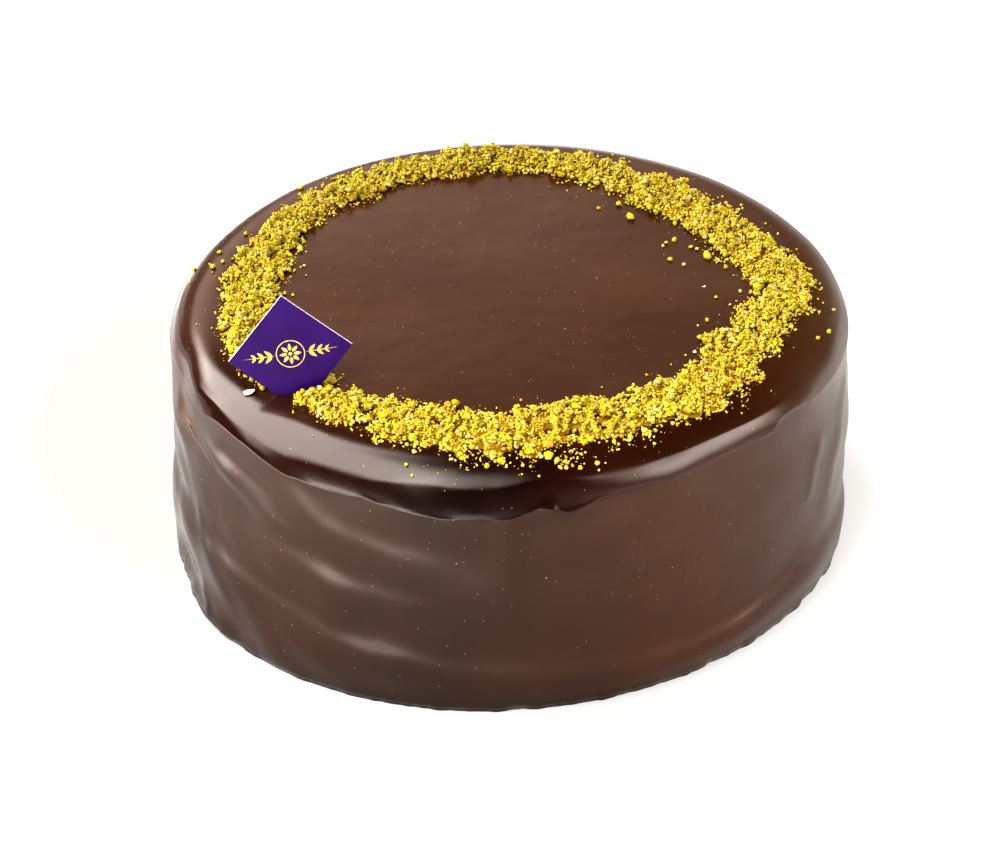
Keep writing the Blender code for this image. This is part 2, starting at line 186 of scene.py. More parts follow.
# Dents and swells of the side: (angle, height in mm, half angle, half height in mm, depth in mm)
SWELLS = (
    (352, 42, 16, 17, 1.5),
    (199, 9, 9, 8, -2.4),
    (188, 33, 14, 4, -1.2),
    (200, 58.5, 5.5, 6, 1.7),
    (199, 71, 6, 6, -2.0),
    (262, 36, 22, 12, 0.7),
    (228, 46, 14, 8, -0.6),
    (300, 38, 18, 20, 0.5),
    (100, 45, 30, 15, 0.9),
    (60, 30, 20, 10, -0.8),
    (145, 55, 18, 9, -0.8),
    (20, 60, 14, 8, -0.6),
)
# The uneven foot: how far up the chips go, how wide they are as a share of the radius, and the
# size of the fine crumble in them
FOOT_CHIPS_TOP = 1.6 * FOOT_HEIGHT
FOOT_CHIP_WIDTH = 1 / 14
FOOT_CRUMBLE = 2.6 * MM

# ---------------------------------------------------------------- the glaze's mesh and paint
# Steps around the front and the back half, and rows from the middle of the top to the foot
FRONT_STEPS = 500
BACK_STEPS = 340
SKIN_STEPS = FRONT_STEPS + BACK_STEPS
TOP_ROWS = 5
CENTRE_SHARES = (0.05, 0.7)
EDGE_SHARES = (0.76, 1)
EDGE_ROWS = 6
SHOULDER_ROWS = 10
SHOULDER_TURN = 56
LIP_OFFSETS = (3.4, 2.8, 2.2, 1.7, 1.2, 0.8, 0.45, 0.15, -0.1, -0.35, -0.6, -1.0, -1.6, -2.4)
LAYER_OFFSETS = (3.0, 2.2, 1.6, 1.1, 0.7, 0.35, 0, -0.35, -0.7, -1.1, -1.6, -2.2, -3.0)
LIP_ROOM = 1.3
LIP_LEAST_ROOM = 0.2
CORNER_ROWS = 7
WALL_ROWS = 48
SLAB_ROWS = 10

# Painted light and shade on the shoulder, darkest in the band at the front and lighter than the top
# at the right: between its two heights over the lip's edge, in mm, it sets in, and between the two
# radii it fades into the top. Its green and blue fade sooner.
SHOULDER_EDGE = (-1.5, 0.8)
SHOULDER_RADII = (0.84 * CAKE_RADIUS, 0.95 * CAKE_RADIUS)
SHOULDER_LIGHT_AND_SHADE = {
    0: 1.5, 60: 1.2, 120: 0.9, 180: 0.85, 205: 0.6, 235: 0.4, 255: 0.22, 272: 0.22, 286: 0.6,
    310: 0.8, 335: 1.3,
}
SHOULDER_SHADE_HUE = np.array([1.0, 1.6, 1.7])
# Painted light and shade around the side, and painted shade that darkens it at the foot: by how
# much, and between which heights in mm
SIDE_LIGHT_AND_SHADE = {
    0: 1.15, 90: 1, 170: 0.8, 205: 0.65, 235: 0.72, 262: 0.62, 285: 1, 300: 1.45, 330: 1.1,
    348: 1.1,
}
FOOT_SHADE = 0.45
FOOT_SHADE_LEVELS = (0.5, 3.5)
# Thin warm glaze: (angle, height in mm, half angle, half height in mm, how much lighter)
THIN_SPOTS = ((204, 64, 4, 5, (2.2, 2.8, 1.5)), (196, 71, 5, 2.5, (1.8, 2.2, 1.2)))
# How rough the glaze is on the top, and then around the shoulder and the side
TOP_ROUGH = 0.22
SHOULDER_ROUGH = {
    0: 0.42, 60: 0.42, 110: 0.3, 150: 0.2, 185: 0.14, 208: 0.15, 225: 0.19, 240: 0.2, 262: 0.21,
    300: 0.22, 322: 0.22, 340: 0.32,
}
SIDE_ROUGH = {0: 0.3, 180: 0.16, 205: 0.14, 220: 0.18, 240: 0.2, 270: 0.25, 330: 0.26}

# ---------------------------------------------------------------- the pistachio ring
# Radii of the ring's inner and outer edge, in mm
RING_INNER = {
    0: 71.5, 15: 64.5, 30: 62, 45: 60.5, 60: 64.5, 75: 67, 90: 68.4, 105: 69.7, 120: 68.3,
    150: 69, 165: 66.2, 180: 66.6, 195: 68, 225: 69, 240: 68.7, 255: 67.6, 285: 67.2,
    300: 69.3, 315: 70.3, 330: 66.1, 345: 68.4,
}
RING_OUTER = {
    0: 91, 15: 85.5, 30: 82.3, 60: 83, 75: 84.8, 90: 85, 105: 83.8, 120: 84.6, 135: 84.8,
    150: 83, 165: 84.2, 180: 85.2, 195: 86.9, 225: 87.5, 240: 87.7, 255: 90.5, 270: 94,
    285: 95.5, 300: 92.6, 315: 93, 330: 87.7, 345: 86.5,
}
CRUMB_TRIES = 380
CRUMB_SMALLEST = 2.3 * MM
CRUMB_LARGEST = 4.3 * MM
CRUMB_SEED = 11
# Steps of this share of a turn, and of its square across the ring, spread the lumps evenly,
# give or take an angle, and they keep clear of the ring's edges
EVEN_TURN = 0.7548776662
LUMP_WANDER = 1.5
LUMP_ACROSS = (0.8, 1)
LUMP_SIZE_POWER = 0.6
LUMP_EDGE = 0.3
LUMP_CARD_ROOM = 0.6
# The glaze is bare where the card stands, and in front of it at its left
CARD_FOOT = np.array([-58.6, -60.2, 0]) * MM
CARD_FOOT_REACH = 9 * MM
CARD_FOOT_ROOM = 2.2 * MM
BARE_CORNER = np.array([-55.0, -55.5, 0]) * MM
FINE_CORNER = np.array([-60.0, -56.5, 0]) * MM
CARD_CRUMB_ROOM = 1.2 * MM
# Crumbs at the rim rest on the glaze just inside it
RIM_RADIUS = 0.995 * CAKE_RADIUS
# The ring's edges waver, in slow and in finer ripples, and there are holes between its clumps.
# More crumbs fall further out, where the ring has more room, and none past the farthest. Strays
# go as far as STRAY_LIMIT half widths of the ring from its middle.
RING_RAGGED = 0.42
RING_RIPPLE = 9 * MM
RING_RIPPLE_FINE = RING_RIPPLE / 2.6
RING_FINE_SHARE = 0.6
RING_HOLES = 0.35
RING_CLUMP = 3 * MM
CRUMB_CLUMPS = (-0.4, 0)
SPREAD_RADIUS = 90 * MM
STRAY_LIMIT = 1.9
CRUMB_FARTHEST = 96.5 * MM
# The bed: its grid, its cover, the size and the roundness of its grains, and its dark amber colour,
# which is painted shade between the crumbs
BED_STEPS = 1200
BED_ROWS = 48
BED_REACH = 1.02
BED_CLUMPS = (-0.45, -0.2)
BED_FADE = (0.5, 0.85)
BED_CARD_FADE = 1.5 * MM
BED_CELL = 1.35 * MM
BED_GRAIN = 0.75
GRAIN_HASH = (12.9898, 78.233)
BED_THICK = 0.35 * MM
BED_DOME = 0.6 * MM
BED_SUNK = 0.5 * MM
BED_HIDDEN = -0.05 * MM
BED_SHADE_TINT = np.array([0.18, 0.10, 0.002])
BED_SHADE_LEAST = 0.8
BED_SHADE_SPREAD = 0.4
# How each kind is spread: count, smallest and largest in mm, how strongly the small ones
# outnumber the large, and the edge, fade and strays of its spread
SPREADS = {
    "pistachio_granules": (7000, 0.7, 1.45, 1.3, 0.51, 0.58, 0.008),
    "pistachio_bits": (1300, 1.3, 2.4, 1.8, 0.5, 0.5, 0.004),
    "pistachio_meal": (9200, 0.42, 0.85, 1, 0.52, 0.66, 0.019),
    "pistachio_fines": (7600, 0.26, 0.46, 1, 0.56, 0.66, 0.026),
}
# The form of each kind: fineness of its mesh, lobes and their width, raggedness, flat cuts, and
# how far it sinks in as a share of its size
FORMS = {
    "pistachio_lumps": (3, 30, 0.035, 0.09, 1, 0.1),
    "pistachio_granules": (1, 0, 0.1, 0.24, 0, 0.12),
    "pistachio_bits": (2, 9, 0.1, 0.16, 1, 0.12),
    "pistachio_meal": (1, 0, 0.1, 0.26, 0, 0.12),
    "pistachio_fines": (0, 0, 0.1, 0.2, 0, 0.12),
    "pistachio_strays": (2, 9, 0.12, 0.06, 1, 0.08),
}
# A crumb's lobes stand out of its core, cuts lie at these shares of its radius, it is longer or
# shorter one way, and squashed. Crumbs with no more points than PLAIN_POINTS are shaded flat.
LOBE_CORE = 0.66
LOBE_REACH = 0.34
LOBE_SWELL = (0.6, 1)
CUT_DEPTH = (0.5, 0.9)
STRETCH = (-0.2, 0.3)
SQUASH = (0.72, 0.95)
PLAIN_POINTS = 12
CRUMB_DRAWS = 21
# Crumbs that lie apart: angle, radius and size in mm, and tint, where it isn't yellow
STRAYS = (
    (16.5, 61.2, 3.3), (354.5, 61.5, 1.4), (351.3, 66.1, 1.2, "pale"), (341.7, 62.0, 1.7),
    (338.3, 60.6, 1.2), (169.5, 87.2, 1.5), (356.0, 95.8, 1.6), (348.2, 96.1, 1.9),
    (266.8, 94.3, 2.3), (269.1, 93.6, 2.4), (278.7, 94.2, 2.5), (275.4, 97.0, 1.2),
    (254.8, 97.1, 1.2), (253.4, 95.0, 1.4), (285.6, 97.5, 1.1, "pale"), (219.6, 87.2, 2.4),
    (216.1, 87.3, 2.2, "green"), (24.0, 66.0, 2.6, "amber"), (332.0, 64.5, 2.2),
    (256.1, 67.3, 3.3, "tan"), (257.9, 67.1, 3.1, "amber"), (47.9, 55.2, 3.4, "olive"),
    (55.4, 59.5, 2.4, "amber"), (46.5, 62.3, 3.0, "amber"), (36.7, 62.3, 2.0),
    (29.1, 56.6, 2.0), (28.7, 53.5, 1.6), (27.5, 51.8, 1.3, "pale"), (18.1, 50.3, 1.9),
    (13.8, 53.4, 1.5, "pale"), (23.3, 59.0, 1.6), (21.6, 60.1, 1.4, "pale"),
    (165.5, 90.1, 1.8, "olive"), (171.6, 89.6, 2.2), (169.9, 91.2, 1.1),
    (169.0, 96.6, 1.6, "olive"), (174.4, 95.6, 1.1, "olive"), (135.4, 89.2, 2.4),
    (137.9, 85.8, 1.6), (157.5, 86.3, 1.6, "olive"), (160.1, 66.7, 2.6),
    (168.1, 62.4, 1.2, "pale"), (183.5, 65.7, 1.7), (184.1, 63.3, 1.3),
    (59.4, 54.4, 1.6, "tan"), (226.8, 83.0, 2.4), (228.0, 81.3, 2.8, "pale"),
    (229.3, 79.7, 2.6), (230.7, 78.4, 3.0), (232.0, 76.6, 2.6, "pale"),
    (227.4, 82.4, 2.2, "amber"), (228.8, 80.6, 2.4), (230.0, 79.2, 2.4, "pale"),
    (231.4, 77.6, 2.4),
)
# Flat flakes: angle, radius and size in mm, and tint
FLAKES = (
    (0.5, 57.7, 1.3, "white"), (334.9, 70.8, 2.2, "white"), (325.8, 67.1, 2.6, "white"),
    (327.2, 68.5, 1.8, "white"), (218.5, 90.7, 4.2, "white"), (320.9, 86.0, 3.0, "skin"),
    (253.0, 69.5, 1.8, "tan"), (300.0, 86.5, 2.4, "white"),
)
LOOSE_FLAKES = 60
LOOSE_FLAKE_SPREAD = (0.5, 0.6, 0)
LOOSE_FLAKE_SIZES = (0.7, 1.4)
LOOSE_FLAKE_TINTS = {"tan": 0.4, "skin": 0.3, "white": 0.1, "pale": 0.2}
FLAKE_FORM = (7, 0.2, 0.05, 0)
FLAKE_THINNESS = 0.14
FLAKE_WIDTH = 0.7
FLAKE_BEND = 0.5
FLAKE_TILT = 0.35
FLAKE_HEIGHT = 0.4
FLAKE_SINK = 0.05
TINTS = {
    "yellow": (0.338, 0.266, 0.027),
    "pale": (0.405, 0.325, 0.116),
    "amber": (0.335, 0.230, 0.006),
    "olive": (0.285, 0.248, 0.010),
    "green": (0.20, 0.200, 0.010),
    "tan": (0.36, 0.190, 0.025),
    "skin": (0.10, 0.028, 0.016),
    "white": (0.46, 0.43, 0.36),
}
# How the tints share out: each has the crumbs from its own number up to the next one's
TINT_SHARES = (
    (0, "yellow"), (0.56, "pale"), (0.76, "amber"), (0.90, "olive"), (0.965, "green"),
    (0.973, "tan"), (0.988, "skin"), (1, ""),
)
# How much lighter or darker a crumb may be than its tint, how far it may lean to another hue,
# and towards which
TINT_LIGHT = 0.12
TINT_LEAN = 0.06
TINT_LEAN_HUE = np.array([[0.3, -0.7, 1.0]])
# Crumbs further back are darker by this share, as painted shade
BACK_SHADE = 0.16

# ---------------------------------------------------------------- the card
CARD_SIDE = 25 * MM
CARD_THICKNESS = 0.7 * MM
CARD_CENTRE = Vector((-60.8, -58.1, 93.5)) * MM
CARD_LEAN = math.radians(8.8)
CARD_TURN = math.radians(2.7)
CARD_ROLL = math.radians(7.3)
CARD_STEPS = 16
CARD_BOW = 0.9 * MM
CARD_FACE, CARD_EDGE, CARD_GILT = range(3)
# The gilt ornament: a rosette about a small eye in a thin ring, and pairs of leaves on a stem
GILT_PROUD = 0.03 * MM
PETALS = 8
PETAL_STEPS = 8
PETAL_WIDTH = 1.05 * MM
PETAL_LOW = 0.8
PETAL_FULL = 0.9
ROSETTE_EYE = 0.9 * MM
ROSETTE_REACH = 2.3 * MM
EYE_LENGTH = 1.4
EYE_WIDTH = 1.2
GILT_RING_STEPS = 48
GILT_RING_REACH = 4.0 * MM
GILT_RING_LINE = 0.3 * MM
LEAF_PLACES = (5.2 * MM, 7.6 * MM, 9.8 * MM)
LEAF_LENGTH = 2.9 * MM
LEAF_SHRINK = 0.18
LEAF_SHARE = 0.36
LEAF_LEAN = math.radians(42)
STEM_START = 4.3 * MM
STEM_LENGTH = 9.4 * MM
STEM_WIDTH = 0.42 * MM

# ---------------------------------------------------------------- the photograph's camera
CAMERA_DISTANCE = 1.4
CAMERA_ELEVATION = math.radians(31.448)
CAMERA_TARGET = Vector((-0.98, 0, 40.8)) * MM
FOCAL_PIXELS = 4693.5
IMAGE_WIDTH = 1000
IMAGE_HEIGHT = 854
TARGET_PIXEL = (506.15, 405.28)
SENSOR = 36


def around(line, angle):
    """The values of a closed smooth curve through line's points, at angles in degrees."""
    angle = np.asarray(angle, float) % 360
    turns = np.array(sorted(line), float)
    heights = np.array([line[t] for t in sorted(line)], float)
    count = len(turns)
    after = np.searchsorted(turns, angle, side="right")
    stops = [(after + k) % count for k in (-2, -1, 0, 1)]
    y0, y1, y2, y3 = (heights[s] for s in stops)
    t0, t1, t2, t3 = (turns[s] for s in stops)
    first, span, last = (t1 - t0) % 360, (t2 - t1) % 360, (t3 - t2) % 360
    share = ((angle - t1) % 360) / span
    slope_in = (y2 - y0) / (first + span) * span
    slope_out = (y3 - y1) / (span + last) * span
    s2 = share * share
    s3 = s2 * share
    return (
        (2 * s3 - 3 * s2 + 1) * y1
        + (s3 - 2 * s2 + share) * slope_in
        + (3 * s2 - 2 * s3) * y2
        + (s3 - s2) * slope_out
    )


def smooth(value, low, high):
    """0 at low and 1 at high, with an even slope between."""
    share = np.clip((value - low) / (high - low), 0, 1)
    return share * share * (3 - 2 * share)


def bump(offset, width):
    """A rounded hump that is 1 at its middle."""
    return np.exp(-((offset / width) ** 2))


def grain(places, size, seed=0):
    """Smooth noise from -1 to 1 at places, with lumps of about size."""
    scaled = np.asarray(places) / size + seed * 7.31
    return np.array([noise.noise(p) for p in scaled.tolist()])


def plan_scale(angle):
    """How far the outline stands out from a true circle, at an angle in degrees."""
    oval = PLAN_OVAL * np.cos(2 * np.radians(angle - PLAN_OVAL_AXIS))
    return 1 + oval + PLAN_LOBE * np.cos(3 * np.radians(angle))


def compass(angle):
    """Unit vectors on the floor plan, at angles in degrees."""
    turn = np.radians(angle)
    return np.stack([np.cos(turn), np.sin(turn), np.zeros_like(turn)], -1)


def stroke_relief(angle, z, points, height, above, below):
    """The relief of one ridge or crease, which fades out towards its two ends."""
    reach = CAKE_RADIUS * math.pi / 180
    path = np.array([(a * reach, h * MM) for a, h in points])
    here = np.stack([angle * reach, z], -1)
    nearest = np.full(len(here), np.inf)
    along = np.zeros(len(here))
    over = np.zeros(len(here), bool)
    legs = np.linalg.norm(np.diff(path, axis=0), axis=1)
    done = 0
    for start, end, leg in zip(path, path[1:], legs):
        way = (end - start) / leg
        off = here - start
        step = np.clip(off @ way, 0, leg)
        away = np.linalg.norm(off - step[:, None] * way, axis=1)
        closer = away < nearest
        nearest[closer] = away[closer]
        along[closer] = (done + step)[closer]
        over[closer] = (off @ np.array([-way[1], way[0]]) > 0)[closer]
        done += leg
    share = along / done
    fade = smooth(share, *STROKE_FADE_IN) * (1 - smooth(share, *STROKE_FADE_OUT))
    return height * MM * bump(nearest, np.where(over, above, below) * MM) * fade


def wrinkles(angle, z):
    """Small slanting wrinkles, in waves longer than they are wide."""
    way = angle * CAKE_RADIUS * math.pi / 180
    along = (way * math.cos(WRINKLE_SLANT) + z * math.sin(WRINKLE_SLANT)) / WRINKLE_LENGTH
    across = z * math.cos(WRINKLE_SLANT) - way * math.sin(WRINKLE_SLANT)
    waves = grain(np.stack([along, across, 0 * z], -1), WRINKLE_SIZE, 2)
    return around(WRINKLE_HEIGHT, angle) * MM * waves


def lip_edge(angle):
    """Height of the lip's lower edge in mm, a little ragged."""
    place = compass(angle) * CAKE_RADIUS
    return around(LIP_LINE, angle) + around(LIP_RAGGED, angle) * grain(place, LIP_RAGGED_SIZE, 4)


def lip_relief(angle, z):
    """How far the lip stands out at heights in mm: a slope down to its edge, then a step back."""
    off = z - lip_edge(angle)
    sharp = around(LIP_SHARP, angle)
    fall = np.maximum(around(LIP_FALL, angle), LIP_LEAST_FALL)
    soft = np.where(off > 0, np.maximum(around(LIP_ROUND, angle), LIP_LEAST_ROUND), sharp)
    away = np.hypot(off, soft) - soft
    dip = around(LIP_DIP, angle) * bump(off - LIP_DIP_UP, LIP_DIP_REACH)
    dip *= smooth(off, 0, LIP_RISE)
    bead = around(LIP_OUT, angle) * np.exp(-away / np.where(off > 0, LIP_RISE, fall)) - dip
    share = np.clip(around(SLOPE_SHARE, angle), 0, 1)
    return bead + share * (slope_relief(angle, z, off, sharp, fall) - bead)


def round_in(z):
    """How far the round shoulder lies inside the wall at heights in mm, also in mm."""
    drop = np.clip((z - SIDE_TOP / MM) / (SHOULDER_DROP / MM), 0, 1)
    return SHOULDER_REACH / MM * (1 - np.sqrt(1 - drop * drop))


def slope_relief(angle, z, off, sharp, fall):
    """The relief of the even slope over the lip, of the corner above it and the wall below."""
    out = around(LIP_OUT, angle)
    corner = around(CORNER_LINE, angle)
    tall = np.maximum(corner - around(LIP_BASE, angle), SLOPE_LEAST_TALL)
    slope = np.clip((out + round_in(corner) - CORNER_PROUD) / tall, *SLOPES)
    proud = out + round_in(corner) - slope * tall
    step = np.exp(-(np.hypot(np.minimum(off, 0), sharp) - sharp) / fall)
    level = np.maximum(z, z - off)
    share = np.clip((corner - level) / tall, 0, 1)
    stands = proud - round_in(corner) + slope * (corner - level)
    stands = (stands + 4 * around(CORNER_BELLY, angle) * share * (1 - share)) * step
    return np.where(z > corner, proud * bump(z - corner, CORNER_REACH), round_in(z) + stands)


def side_relief(angle, z):
    """How far the glaze of the side stands out, at angles in degrees and heights."""
    place = compass(angle) * CAKE_RADIUS
    layer = around(LAYER_LINE, angle) * MM + LAYER_WAVER * grain(place, LAYER_WAVER_SIZE, 6)
    step = LAYER_STEP * around(LAYER_STEP_SHARE, angle)
    step *= 1 + LAYER_UNEVEN * grain(place, LAYER_UNEVEN_SIZE, 8)
    relief = step * (0.5 - 0.5 * np.tanh((z - layer) / (around(LAYER_STEP_WIDTH, angle) * MM)))
    relief *= smooth(z, 0, LAYER_FADE * layer)
    relief += lip_relief(angle, z / MM) * MM
    for points, height, above, below in STROKES.values():
        relief += stroke_relief(angle, z, points, height, above, below)
    relief += wrinkles(angle, z) * (1 - smooth(z / MM - lip_edge(angle), *WRINKLE_ENDS))
    for middle, level, half_angle, half_height, depth in SWELLS:
        across = bump((angle - middle + 180) % 360 - 180, half_angle)
        relief += depth * MM * across * bump(z / MM - level, half_height)
    tall = np.stack([np.zeros_like(z), np.zeros_like(z), 2 * z], -1)
    relief += WAVE_HEIGHT * grain(place + tall, WAVE_SIZE)
    chips = grain(compass(angle), FOOT_CHIP_WIDTH) + 0.5 * grain(place + tall, FOOT_CRUMBLE, 9)
    relief += FOOT_CHIPS * chips * (1 - smooth(z, 0, FOOT_CHIPS_TOP))
    return relief + SIDE_TAPER * (0.5 - z / CAKE_HEIGHT)


def on_plan(radius, angle):
    """Places on the floor plan, at radii and angles of the round cake."""
    return compass(angle) * (radius * plan_scale(angle))[..., None]


def room_at_card(place, room, bare):
    """How far places lie clear of the card's foot and of the bare corner before it."""
    off = place - CARD_FOOT
    along = np.maximum(0, np.abs(off[..., 0]) - CARD_FOOT_REACH)
    beside = np.hypot(along, off[..., 1]) - room
    corner = np.maximum(place[..., 0] - bare[0], place[..., 1] - bare[1])
    return np.minimum(beside, corner)


def top_waves(radius, angle):
    """The slow waves of the top, which is a little domed."""
    dome = -TOP_DOME * (radius / TOP_RADIUS) ** 2
    return dome + TOP_WAVE_HEIGHT * grain(compass(angle) * radius[..., None], TOP_WAVE_SIZE)


def top_height(radius, angle):
    """Height of the glaze on the top and the shoulder."""
    reach = np.clip((radius - TOP_RADIUS) / SHOULDER_REACH, 0, 1)
    z = SIDE_TOP + SHOULDER_DROP * np.sqrt(1 - reach * reach)
    return z + top_waves(radius, angle) * (1 - smooth(radius, TOP_RADIUS, CAKE_RADIUS))


def polar(place):
    """Angles in degrees and radii of the round cake, at places on the floor plan."""
    angle = np.degrees(np.arctan2(place[..., 1], place[..., 0]))
    return angle, np.hypot(place[..., 0], place[..., 1]) / plan_scale(angle)


def surface_height(place):
    """Height of the glaze below places on the floor plan."""
    angle, radius = polar(place)
    return top_height(np.minimum(radius, RIM_RADIUS), angle)


# ---------------------------------------------------------------- meshes
def mesh_object(name, vertices, faces, smooth_shade=True):
    """A new object from vertices and faces, each as an array or a list."""
    points, polygons = (
        each.tolist() if isinstance(each, np.ndarray) else each for each in (vertices, faces)
    )
    mesh = bpy.data.meshes.new(name)
    mesh.from_pydata(points, [], polygons)
    mesh.polygons.foreach_set("use_smooth", [smooth_shade] * len(mesh.polygons))
    made = bpy.data.objects.new(name, mesh)
    bpy.context.scene.collection.objects.link(made)
    return made


def paint_points(made, layer, colours):
    """Gives each point of a piece its own four numbers."""
    paint = made.data.color_attributes.new(layer, "FLOAT_COLOR", "POINT")
    paint.data.foreach_set("color", colours.ravel())


def ring_faces(rows, steps):
    """Quads between rows of points that each go once around."""
    row, step = np.meshgrid(np.arange(rows - 1), np.arange(steps), indexing="ij")
    here, there = row * steps + step, row * steps + (step + 1) % steps
    return np.stack([here, here + steps, there + steps, there], -1).reshape(-1, 4)


def walls(first, second, count):
    """Quads between two closed loops of points, from the numbers that the loops start at."""
    pairs = [(i, (i + 1) % count) for i in range(count)]
    return [(first + i, second + i, second + after, first + after) for i, after in pairs]


def skin_angles():
    """Angles of the skin's points, closer together on the front half."""
    back = np.linspace(0, 180, BACK_STEPS, endpoint=False)
    return np.concatenate([back, np.linspace(180, 360, FRONT_STEPS, endpoint=False)])


def skin_rows(angle):
    """Radius and height of each row of the glaze, before it is pushed out of round."""
    turns = np.radians(np.linspace(0, SHOULDER_TURN, SHOULDER_ROWS + 1)[1:])
    radii = [*np.linspace(*CENTRE_SHARES, TOP_ROWS) * TOP_RADIUS]
    radii += [*np.linspace(*EDGE_SHARES, EDGE_ROWS) * TOP_RADIUS]
    radii += [TOP_RADIUS + SHOULDER_REACH * math.sin(turn) for turn in turns]
    rows = [(np.full(len(angle), radius), None) for radius in radii]
    high = SIDE_TOP + SHOULDER_DROP * math.cos(math.radians(SHOULDER_TURN))
    lip = lip_edge(angle) * MM
    layer = around(LAYER_LINE, angle) * MM
    room = np.clip((high - lip) / (LIP_ROOM * LIP_OFFSETS[0] * MM), LIP_LEAST_ROOM, 1)
    lip_rows = [lip + offset * (room if offset > 0 else 1) * MM for offset in LIP_OFFSETS]
    layer_rows = [layer + offset * MM for offset in LAYER_OFFSETS]
    levels = between(high, lip_rows[0], CORNER_ROWS) + lip_rows
    levels += between(lip_rows[-1], layer_rows[0], WALL_ROWS) + layer_rows
    levels += between(layer_rows[-1], FOOT_HEIGHT, SLAB_ROWS - 1)
    levels.append(np.full(len(angle), FOOT_HEIGHT))
    for z in levels:
        drop = np.clip((z - SIDE_TOP) / SHOULDER_DROP, 0, 1)
        radius = TOP_RADIUS + SHOULDER_REACH * np.sqrt(1 - drop * drop)
        rows.append((np.where(z > SIDE_TOP, radius, CAKE_RADIUS), z))
    return rows


def between(start, end, count):
    """Evenly spaced levels between two levels, without these."""
    return [start + (end - start) * share for share in np.linspace(0, 1, count + 2)[1:-1]]


def glaze_paint(place):
    """Painted light and shade of the chocolate with the tone of its thin spots, as three factors,
    and how rough it is.
    """
    angle, radius = polar(place)
    angle = angle % 360
    height = place[:, 2] / MM
    shoulder = smooth(height - around(LIP_LINE, angle), *SHOULDER_EDGE)
    outer = smooth(radius, *SHOULDER_RADII)
    # Painted light and shade on the shoulder
    shoulder_shade = 1 - (1 - around(SHOULDER_LIGHT_AND_SHADE, angle)) * shoulder * outer
    # Painted light and shade around the side, and painted shade at the foot
    side = shoulder + (1 - shoulder) * around(SIDE_LIGHT_AND_SHADE, angle)
    side *= 1 - FOOT_SHADE * (1 - smooth(height, *FOOT_SHADE_LEVELS))
    shade_and_tone = shoulder_shade[:, None] ** SHOULDER_SHADE_HUE * side[:, None]
    for middle, level, half_angle, half_height, light in THIN_SPOTS:
        near = bump(angle - middle, half_angle) * bump(height - level, half_height)
        shade_and_tone *= 1 + near[:, None] * (np.array(light) - 1)
    rough = TOP_ROUGH + (around(SHOULDER_ROUGH, angle) - TOP_ROUGH) * outer
    rough = shoulder * rough + (1 - shoulder) * around(SIDE_ROUGH, angle)
    return np.concatenate([shade_and_tone, rough[:, None]], 1)


def glaze_skin():
    """The glaze: rings of points from the top's middle to the underside."""
    angle = skin_angles()
    rings = []
    for radius, z in skin_rows(angle):
        steep = smooth(radius, TOP_RADIUS, CAKE_RADIUS)
        if z is None:
            z = top_height(radius, angle)
        else:
            steep = np.where(z > SIDE_TOP, steep, 1)
        out = radius * plan_scale(angle) + side_relief(angle, z) * steep
        rings.append(compass(angle) * out[:, None] + np.stack([0 * z, 0 * z, z], -1))
    base = CAKE_RADIUS - FOOT_INSET
    out = base * plan_scale(angle) + side_relief(angle, np.zeros(SKIN_STEPS))
    rings.append(compass(angle) * out[:, None])
    faces = ring_faces(len(rings), SKIN_STEPS).tolist()
    top, last = len(rings) * SKIN_STEPS, (len(rings) - 1) * SKIN_STEPS
    for i in range(SKIN_STEPS):
        after = (i + 1) % SKIN_STEPS
        faces.append((top, i, after))
        faces.append((top + 1, last + after, last + i))
    height = top_height(np.zeros(1), np.zeros(1))[0]
    vertices = np.concatenate([*rings, [[0, 0, height], [0, 0, 0]]]) + PLAN_SHIFT
    made = mesh_object("glaze", vertices, faces)
    # Painted light and shade, with the thin spots' tone, and the roughness of each point
    paint_points(made, "shade_and_tone", glaze_paint(vertices - PLAN_SHIFT))
    return made


# ---------------------------------------------------------------- crumbs
def ball(subdivisions):
    """Vertices and triangles of a unit icosphere, as arrays."""
    shape = bmesh.new()
    bmesh.ops.create_icosphere(shape, subdivisions=subdivisions, radius=1)
    vertices = np.array([v.co[:] for v in shape.verts])
    faces = np.array([[v.index for v in f.verts] for f in shape.faces])
    shape.free()
    return vertices, faces


def octahedron():
    """Vertices and triangles of the plainest crumb, for dust."""
    corners = [(1, 0, 0), (-1, 0, 0), (0, 1, 0), (0, -1, 0), (0, 0, 1), (0, 0, -1)]
    faces = [(0, 2, 4), (2, 1, 4), (1, 3, 4), (3, 0, 4), (2, 0, 5), (1, 2, 5), (3, 1, 5), (0, 3, 5)]
    return np.array(corners, float), np.array(faces)


def unit_vectors(draw, shape):
    """Random directions."""
    way = draw.normal(size=(*shape, 3))
    return way / np.linalg.norm(way, axis=-1, keepdims=True)


def crumb_shapes(draw, template, sizes, lobes, lobe_width, ragged, cuts):
    """Crumbs about the origin: lobed, ragged, broken flat on a few sides and a little squashed."""
    count = len(sizes)
    points = np.repeat(template[None], count, axis=0)
    reach = np.ones((count, len(template)))
    if lobes:
        ways = unit_vectors(draw, (count, lobes))
        near = np.einsum("nvk,njk->nvj", points, ways)
        swell = np.exp((near - 1) / lobe_width) * draw.uniform(*LOBE_SWELL, (count, 1, lobes))
        reach = LOBE_CORE + LOBE_REACH * swell.max(-1)
    reach = reach * (1 + ragged * draw.uniform(-1, 1, reach.shape))
    points = points * reach[..., None]
    for _ in range(cuts):
        way = unit_vectors(draw, (count, 1))
        over = np.einsum("nvk,nik->nv", points, way) - draw.uniform(*CUT_DEPTH, (count, 1))
        points = points - np.maximum(over, 0)[..., None] * way
    long_way = unit_vectors(draw, (count, 1))
    stretch = draw.uniform(*STRETCH, (count, 1))
    points = points + (points * long_way).sum(-1, keepdims=True) * long_way * stretch[..., None]
    points[..., 2] *= draw.uniform(*SQUASH, (count, 1))
    return points * (sizes / 2)[:, None, None]


